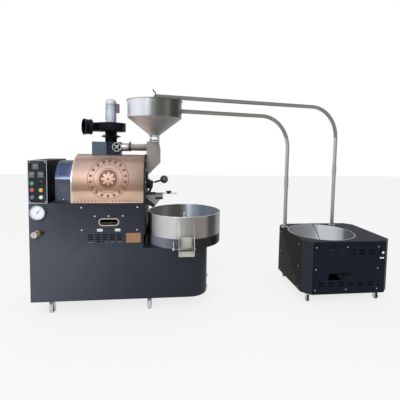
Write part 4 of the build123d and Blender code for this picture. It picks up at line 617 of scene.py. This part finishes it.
painted_cone_reflections = painted_reflections(cone_satin, HOPPER, [
    (0, 150, 140, 136), (0.1, 196, 182, 178), (0.13, 218, 202, 196), (0.183, 190, 172, 166),
    (0.229, 148, 138, 134), (0.272, 126, 124, 122), (0.317, 132, 130, 126), (0.369, 130, 128, 124),
    (0.5, 120, 118, 116), (0.75, 160, 158, 156), (1, 150, 140, 136)])
clouds = cone_satin.noise(11, detail=5)
cone_satin.feed("Base Color", cone_satin.mix(clouds * 0.2, painted_cone_reflections, tone(190, 182, 178)))
cone_satin.feed("Roughness", clouds * 0.14 + 0.3)
form = bmesh.new()
lathe(form, [(41.3, 1476), (233, 1625.4), (233, 1769), (234.5, 1770), (238.5, 1770), (240, 1768.5),
             (240, 1766), (238.5, 1764.8), (235, 1764.8), (235, 1625.6), (234.2, 1624.6), (43, 1476),
             (41.3, 1476)], HOPPER, steps=128)
hopper = piece("hopper_spun", form, wall_polish, stands_for=("hopper_bowl",), smooth=25)
hopper.data.materials.append(cone_satin.material)
CONE_TOP = 1.6252    # metres above the floor
for face in hopper.data.polygons:
    face.material_index = int(face.center.z < CONE_TOP)
rod_dark = powder_coat("rod_dark", tone(44, 46, 48), tone(70, 72, 72), 0.4)
clamp_rod = lambda p, n: p.z > 1781 and p.y < 216 and abs(p.x - HOPPER_X) < 30
recoat("hopper_lid", "stainless", cone_satin, (clamp_rod, rod_dark))
recoat("hopper_neck", "zinc", zinc)
recoat("slide_gate", "satin_steel", shelf_steel)
feed_steel = satin_steel("feed_steel", tone(110, 108, 102), tone(136, 133, 126))
recoat("feed_chute", "satin_steel", feed_steel)

# ------------------------------------------------ exhaust
# A blue-grey plenum beside a dark damper box with a ring dial, the flanged neck, and a black
# scroll fan whose round outlet turns to the left and a little forward.
plenum_coat = powder_coat("plenum_coat", tone(64, 79, 94), tone(78, 94, 109), 0.38)
damper_coat = powder_coat("damper_coat", tone(20, 20, 34), tone(44, 44, 62), 0.45, 0.15)
damper_box = lambda p, n: p.x > 556.5
recoat("exhaust_plenum", "cover_paint", plenum_coat, (damper_box, damper_coat))
dial_metal = patched("dial_metal", 50, (150, 148, 146), (200, 196, 190), Metallic=0.8, Roughness=0.35)
in_dial = lambda p, n: (p.x - 643) ** 2 + (p.z - 1369) ** 2 < 34 ** 2
recoat("damper_dial", "zinc", dial_metal, (in_dial, damper_coat))
fan_coat = Finish("fan_coat", Specular_IOR_Level=0.12)
scuff = fan_coat.noise(5, detail=6)
fan_coat.feed("Base Color", fan_coat.mix(scuff * 0.6, tone(2, 3, 10), tone(18, 22, 34)))
fan_coat.feed("Roughness", scuff * 0.2 + 0.28)
recoat("fan_housing", "black_paint", fan_coat)
recoat("fan_impeller", "satin_steel", shelf_steel)

# ------------------------------------------------ fan motor
# A ribbed cast body under a domed cowl, with a brown terminal box on its right.
cowl_enamel = Finish("cowl_enamel", Roughness=0.32, Coat_Weight=0.3)
FAN_X = 587
x, _, _ = cowl_enamel.axes(at(FAN_X, AXIS_Y, 1572))
# The cowl's colour holds painted light and shade across it: pale at the left and middle, darker to the right.
shade = cowl_enamel.shades((x + 0.046) / 0.092, [
    (0, 180, 196, 208), (0.3, 208, 218, 228), (0.5, 216, 224, 234), (0.62, 196, 206, 218),
    (0.78, 180, 190, 202), (1, 120, 128, 142)])
cowl_enamel.feed("Base Color", shade)
terminal_brown = powder_coat("terminal_brown", tone(86, 72, 76), tone(110, 94, 96), 0.45)
terminal_box = lambda p, n: p.x > 627.5 and 1660 < p.z < 1739
motor_foot = lambda p, n: p.z < 1580.5
recoat("fan_motor", "motor_grey", cowl_enamel, (terminal_box, terminal_brown), (motor_foot, fan_coat))
form = bmesh.new()
for ring in range(4):
    radius = 9 + ring * 7
    lathe(form, [(radius, 0), (radius + 2.2, 0), (radius + 2.2, 1.2), (radius, 1.2), (radius, 0)],
          at(FAN_X, AXIS_Y, 1769.6), steps=40)
piece("cowl_grille", form, switch_black)

# ------------------------------------------------ chaff pipe
# Bright steel pipe with a wide socket and a band clamp; its colour has a painted highlight along the upper
# side and painted shade underneath.


def round_steel(name, facing, stops, grain_size):
    """Polished tube with painted reflections: light and dark lines along it, painted by the way its wall
    faces.
    """
    steel = Finish(name, Metallic=0.5)
    facing = steel.node("Attribute", {"attribute_name": facing}, {}, "Fac")
    drawn = steel.noise(40, size=grain_size, detail=4)
    steel.feed("Base Color", steel.shades(facing * 0.5 + 0.49 + drawn * 0.02, stops))
    steel.feed("Roughness", drawn * 0.1 + 0.18)
    return steel


pipe_steel = round_steel("pipe_steel", "skyward", [
    (0, 120, 112, 106), (0.2, 150, 140, 134), (0.4, 172, 164, 158), (0.52, 196, 188, 182),
    (0.62, 240, 232, 228), (0.8, 246, 238, 234), (0.92, 196, 186, 180), (1, 206, 198, 192)], (0.05, 1, 1))
band_clamp = lambda p, n: 743.5 < p.x < 756.5
recoat("chaff_pipe", "stainless", pipe_steel, (band_clamp, damper_coat))

# ------------------------------------------------ cooling tray
# A rolled band of mirror stainless with a beaded rim on a black ring, over a slotted floor,
# with a flap at the front and a four-armed stirrer driven from below.
TRAY_X = 1228
TRAY = at(TRAY_X, AXIS_Y, 0)
# The band's colour holds painted reflections: bright and dark upright bands round the tray, dark at the left
# where the cabinet stands beside it.
tray_polish = Finish("tray_polish", Metallic=0.05, Specular_IOR_Level=0.3)
painted_tray_reflections = painted_reflections(tray_polish, TRAY, [
    (0, 40, 42, 60), (0.05, 70, 72, 86), (0.076, 120, 122, 134), (0.086, 254, 254, 255),
    (0.185, 255, 255, 255), (0.205, 250, 250, 248), (0.228, 196, 196, 192), (0.26, 168, 166, 160),
    (0.28, 150, 144, 138), (0.334, 158, 149, 136), (0.352, 60, 58, 56), (0.382, 30, 35, 37),
    (0.4, 120, 120, 116), (0.415, 172, 169, 161), (0.45, 110, 110, 114), (0.5, 106, 108, 114),
    (0.58, 108, 110, 114), (0.62, 116, 122, 134), (0.65, 112, 122, 138), (0.675, 142, 154, 170),
    (0.7, 164, 176, 192), (0.72, 228, 240, 248), (0.735, 150, 154, 164), (0.75, 96, 98, 98),
    (0.765, 70, 70, 66), (0.79, 70, 69, 66), (0.815, 92, 90, 88), (0.842, 134, 132, 128),
    (0.87, 104, 104, 104), (0.91, 76, 76, 76), (1, 40, 42, 60)])
rubbed = tray_polish.noise(80, size=(1, 1, 0.03), detail=4)
tray_polish.feed("Base Color", tray_polish.mix(rubbed * 0.04, painted_tray_reflections, tone(232, 232, 232)))
tray_polish.feed("Roughness", rubbed * 0.1 + 0.22)
recoat("cooling_tray", "stainless", tray_polish)
bead_polish = Finish("bead_polish", Metallic=0.95)
drawn = bead_polish.noise(40, size=(0.05, 1, 1), detail=4)
bead_polish.feed("Base Color", bead_polish.mix(drawn, tone(150, 154, 160), tone(216, 218, 222)))
bead_polish.feed("Roughness", drawn * 0.1 + 0.14)
RIM_RADIUS, RIM_HEIGHT, BEAD_RADIUS = 319.6, 811, 3.2
form = bmesh.new()
bead = [(RIM_RADIUS + BEAD_RADIUS * math.cos(math.tau * n / 12),
         RIM_HEIGHT + BEAD_RADIUS * math.sin(math.tau * n / 12)) for n in range(13)]
lathe(form, bead, TRAY, steps=160)
piece("tray_bead", form, bead_polish)
floor_steel = satin_steel("floor_steel", tone(118, 118, 118), tone(168, 168, 168), (0.05, 1, 1))
recoat("tray_floor", "satin_steel", floor_steel)
# The black ring's colour holds painted reflections too: a pale band at its front left.
base_coat = Finish("base_coat", Specular_IOR_Level=0.25)
painted_base_reflections = painted_reflections(base_coat, TRAY, [
    (0, 16, 18, 30), (0.06, 60, 62, 76), (0.085, 150, 154, 166), (0.17, 112, 116, 128),
    (0.22, 76, 79, 91), (0.27, 24, 24, 36), (0.33, 10, 10, 20), (0.5, 10, 10, 18), (0.75, 40, 42, 50),
    (1, 16, 18, 30)])
base_peel = base_coat.noise(400, detail=2)
base_coat.feed("Base Color", painted_base_reflections)
base_coat.feed("Roughness", base_peel * 0.1 + 0.34)
base_coat.relief(base_peel, 0.0004)
gate_steel = satin_steel("gate_steel", tone(172, 172, 166), tone(206, 206, 198))
in_spout = lambda p, n: p.y < -60.5 and 1163 < p.x < 1293
recoat("tray_base", "black_paint", base_coat, (in_spout, gate_steel))
gate_handle = lambda p, n: p.x < 1128
stirrer_arms = lambda p, n: p.z < 700 and (p.x - TRAY_X) ** 2 + (p.y - AXIS_Y) ** 2 > 31 ** 2
recoat("tray_gate", "satin_steel", gate_steel, (gate_handle, shelf_steel))
recoat("stirrer", "satin_steel", shelf_steel, (stirrer_arms, heated))
recoat("stirrer_gearmotor", "motor_grey", motor_enamel)

# ------------------------------------------------ conveying tubes
# Polished stainless tube: two level runs that bend down on to the loader's top, each with a
# slip coupling and a foot flange.
# The runs' colour holds painted reflections by how the wall faces up, and the drops' by how it faces left:
# light and dark lines along the tube.
run_steel = round_steel("run_steel", "skyward", [
    (0, 156, 150, 146), (0.2, 140, 136, 132), (0.42, 132, 128, 124), (0.6, 118, 114, 110),
    (0.74, 112, 108, 102), (0.88, 140, 136, 130), (1, 156, 152, 148)], (0.05, 1, 1))
drop_steel = round_steel("drop_steel", "leftward", [
    (0, 160, 156, 152), (0.12, 112, 108, 104), (0.3, 118, 114, 110), (0.5, 150, 146, 142),
    (0.75, 180, 176, 172), (1, 206, 202, 198)], (1, 1, 0.05))
in_drop = lambda p, n: p.x > 2240 and p.z < 1500
recoat("lower_tube", "stainless", run_steel, (in_drop, drop_steel))
recoat("upper_tube", "stainless", run_steel, (in_drop, drop_steel))

# ------------------------------------------------ loader
# A chamfered sheet box in near-black powder coat, with painted light and shade in its colour: the front left
# chamfer and the top lighter, the left side darker.
loader_coat = Finish("loader_coat", Specular_IOR_Level=0.08)
x, y, z = loader_coat.axes(at(2280, 28, 0))    # metres from the box's front left corner
painted_light_chamfer = (x + y) < 0.0725
painted_light_top = z > 0.5605
peel = loader_coat.noise(380, detail=2)
drift = loader_coat.noise(2.2, detail=4)
front_tone = loader_coat.mix(drift, tone(16, 19, 30), tone(27, 30, 43))
painted_left_shade = loader_coat.mix(drift, tone(2, 3, 6), tone(7, 8, 11))
body_tone = loader_coat.mix(x < 0.004, front_tone, painted_left_shade)
body_tone = loader_coat.mix(painted_light_chamfer, body_tone, tone(46, 51, 60))
loader_coat.feed("Base Color", loader_coat.mix(painted_light_top, body_tone, tone(28, 32, 40)))
loader_coat.feed("Roughness", peel * 0.12 + 0.5)
loader_coat.relief(peel, 0.0004)
recoat("loader_body", "loader_paint", loader_coat)
recoat("loader_top", "loader_paint", loader_coat)
pick_up = lambda p, n: p.x < 2700
recoat("loader_blower", "motor_grey", motor_enamel, (pick_up, black_coat))
lamp_white = patched("lamp_white", 40, (232, 234, 236), (250, 250, 250), Roughness=0.25,
                     Emission_Color=(1, 1, 1, 1), Emission_Strength=0.3)
in_lamp = lambda p, n: p.x > 2984.5 and p.y < 28 and p.z < 430
screwed = lambda p, n: p.y < 25.99 and p.x < 2984 or p.x < 2280
recoat("loader_front_panel", "loader_paint", loader_coat, (screwed, zinc), (in_lamp, lamp_white))
knob_mark = lambda p, n: p.y < 13.75
recoat("loader_knob", "black_plastic", switch_black, (knob_mark, mark_white))

# ------------------------------------------------ loader bowl and probe
# A spun stainless bowl let into the top, with a thin sensing rod that reaches down into it.
BOWL = at(2596, 384, 0)
# The bowl's colour holds painted reflections: bright and dark bands round its axis, brightest towards the
# right back.
bowl_polish = Finish("bowl_polish", Metallic=0.05, Specular_IOR_Level=0.3)
painted_bowl_reflections = painted_reflections(bowl_polish, BOWL, [
    (0, 150, 150, 152), (0.25, 196, 196, 200), (0.47, 56, 58, 66), (0.5, 70, 74, 82),
    (0.54, 112, 118, 126), (0.56, 210, 214, 222), (0.6, 250, 252, 255), (0.64, 250, 252, 255),
    (0.665, 252, 253, 255), (0.685, 252, 253, 255), (0.7, 206, 210, 216), (0.715, 184, 188, 192),
    (0.74, 168, 172, 176), (0.79, 152, 156, 160), (0.85, 140, 142, 144), (0.93, 120, 120, 118),
    (1, 150, 150, 152)])
spun = bowl_polish.noise(70, size=(1, 1, 0.03), detail=4)
bowl_polish.feed("Base Color", bowl_polish.mix(spun * 0.15, painted_bowl_reflections, tone(238, 238, 240)))
bowl_polish.feed("Roughness", spun * 0.1 + 0.24)
form = bmesh.new()
lathe(form, [(62, 190), (62, 249), (306.7, 399), (306.7, 561.8), (308, 562.2), (313.5, 562.2), (315, 563),
             (315, 563.6), (313.5, 564), (306.7, 564), (304.7, 562.6), (304.7, 400), (60, 250), (60, 190),
             (62, 190)], BOWL, steps=128)
piece("bowl_spun", form, bowl_polish, stands_for=("loader_bowl",), smooth=25)
recoat("level_probe", "black_paint", rod_dark)

# ------------------------------------------------ casters
# Zinc forks with a brake pedal; white nylon treads on the roaster, black rubber on the loader.
recoat("caster_forks", "zinc", zinc)
nylon = patched("white_nylon", 30, (196, 198, 202), (226, 228, 230), Roughness=0.4)
rubber = patched("dark_rubber", 60, (26, 26, 28), (44, 44, 46), Roughness=0.75)
WHEELS = (("roaster_front_wheels", (140, 930), 80, 45, nylon, "white_wheel"),
          ("roaster_rear_wheels", (140, 930), 444, 45, nylon, "white_wheel"),
          ("loader_front_wheels", (2345, 3010), 98, 28, rubber, "rubber_wheel"),
          ("loader_rear_wheels", (2345, 3010), 672, 28, rubber, "rubber_wheel"))
for name, columns, y, radius, tread, slot in WHEELS:
    wide = radius / 3
    tread_half = [(radius * 0.7, wide * 0.8), (radius * 0.88, wide), (radius * 0.97, wide * 0.75),
                  (radius, wide * 0.3)]
    hub_half = [(5, wide + 2), (radius * 0.26, wide + 1), (radius * 0.3, wide * 0.6),
                (radius * 0.62, wide * 0.5), (radius * 0.71, wide * 0.78)]
    tyres, hubs = bmesh.new(), bmesh.new()
    for x in columns:
        for form, half in ((tyres, tread_half), (hubs, hub_half)):
            outline = [(r, -h) for r, h in half] + half[::-1]
            lathe(form, outline + outline[:1], at(x, y, radius), TO_RIGHT, 56)
    piece(name + "_treads", tyres, tread, name, (name,))
    piece(name + "_hubs", hubs, rubber if tread is nylon else nylon, name)

# ------------------------------------------------ studio
# A pale floor under a white sky, a broad soft lamp from the upper left, and the camera.
scene = bpy.context.scene
scene.view_settings.view_transform = "Standard"
form = bmesh.new()
bmesh.ops.create_grid(form, x_segments=1, y_segments=1, size=14)
ground_mesh = bpy.data.meshes.new("floor")
form.to_mesh(ground_mesh)
form.free()
ground = bpy.data.objects.new("floor", ground_mesh)
scene.collection.objects.link(ground)
pale = Finish("pale_floor", Base_Color=(0.9, 0.9, 0.9, 1), Roughness=0.9)
RAYS = "Is Camera Ray", "Is Glossy Ray", "Is Transmission Ray"    # these see the floor and sky as white
camera_ray, glossy_ray, clear_ray = [pale.node("LightPath", {}, {}, ray) for ray in RAYS]
seen = camera_ray + glossy_ray + clear_ray
glow = pale.node("Emission", {}, {"Color": (1, 1, 1, 1), "Strength": 1.0})
share = (seen * 0.78).math("MINIMUM", 0.78)
blend = pale.node("MixShader", {}, {0: share, 1: Wire(pale, pale.shader.outputs[0]), 2: glow})
pale.tree.links.new(blend.socket, pale.tree.nodes["Material Output"].inputs["Surface"])
ground_mesh.materials.append(pale.material)

world = bpy.data.worlds.new("studio")
scene.world = world
world.use_nodes = True
tree = world.node_tree
soft = tree.nodes["Background"]
soft.inputs["Color"].default_value = (0.95, 0.97, 1, 1)
soft.inputs["Strength"].default_value = 0.62
white = tree.nodes.new("ShaderNodeBackground")
white.inputs["Color"].default_value = (1, 1, 1, 1)
path = tree.nodes.new("ShaderNodeLightPath")
any_of = path.outputs[RAYS[0]]
for ray in RAYS[1:]:
    either = tree.nodes.new("ShaderNodeMath")
    either.operation = "MAXIMUM"
    tree.links.new(any_of, either.inputs[0])
    tree.links.new(path.outputs[ray], either.inputs[1])
    any_of = either.outputs[0]
swap = tree.nodes.new("ShaderNodeMixShader")
tree.links.new(any_of, swap.inputs[0])
tree.links.new(soft.outputs[0], swap.inputs[1])
tree.links.new(white.outputs[0], swap.inputs[2])
tree.links.new(swap.outputs[0], tree.nodes["World Output"].inputs["Surface"])

lamp = bpy.data.lights.new("soft_lamp", "AREA")
lamp.shape, lamp.size, lamp.size_y, lamp.energy = "RECTANGLE", 3.2, 2.4, 95
lamp_object = bpy.data.objects.new("soft_lamp", lamp)
scene.collection.objects.link(lamp_object)
lamp_object.location = (-1.5, -4.1, 3.3)
lamp_object.rotation_euler = (Vector((0, 0, 0.9)) - lamp_object.location).to_track_quat("-Z", "Y").to_euler()

EYE = at(1037.8, -2610, 1356.3)
YAW, PITCH, ROLL = math.radians(6.64), math.radians(4.11), math.radians(0.89)
ahead = Vector((math.sin(YAW) * math.cos(PITCH), math.cos(YAW) * math.cos(PITCH), -math.sin(PITCH)))
right = Vector((math.cos(YAW), -math.sin(YAW), 0))
up = right.cross(ahead)
right, up = (math.cos(ROLL) * right + math.sin(ROLL) * up, math.cos(ROLL) * up - math.sin(ROLL) * right)
lens = bpy.data.cameras.new("camera")
lens.sensor_width, lens.lens = 36, 28.98
lens.shift_x, lens.shift_y = -0.0017, -0.0678
lens.clip_start, lens.clip_end = 0.05, 60
camera = bpy.data.objects.new("camera", lens)
scene.collection.objects.link(camera)
turned = Matrix((right, up, -ahead)).transposed().to_4x4()
camera.matrix_world = Matrix.Translation(EYE) @ turned
scene.camera = camera
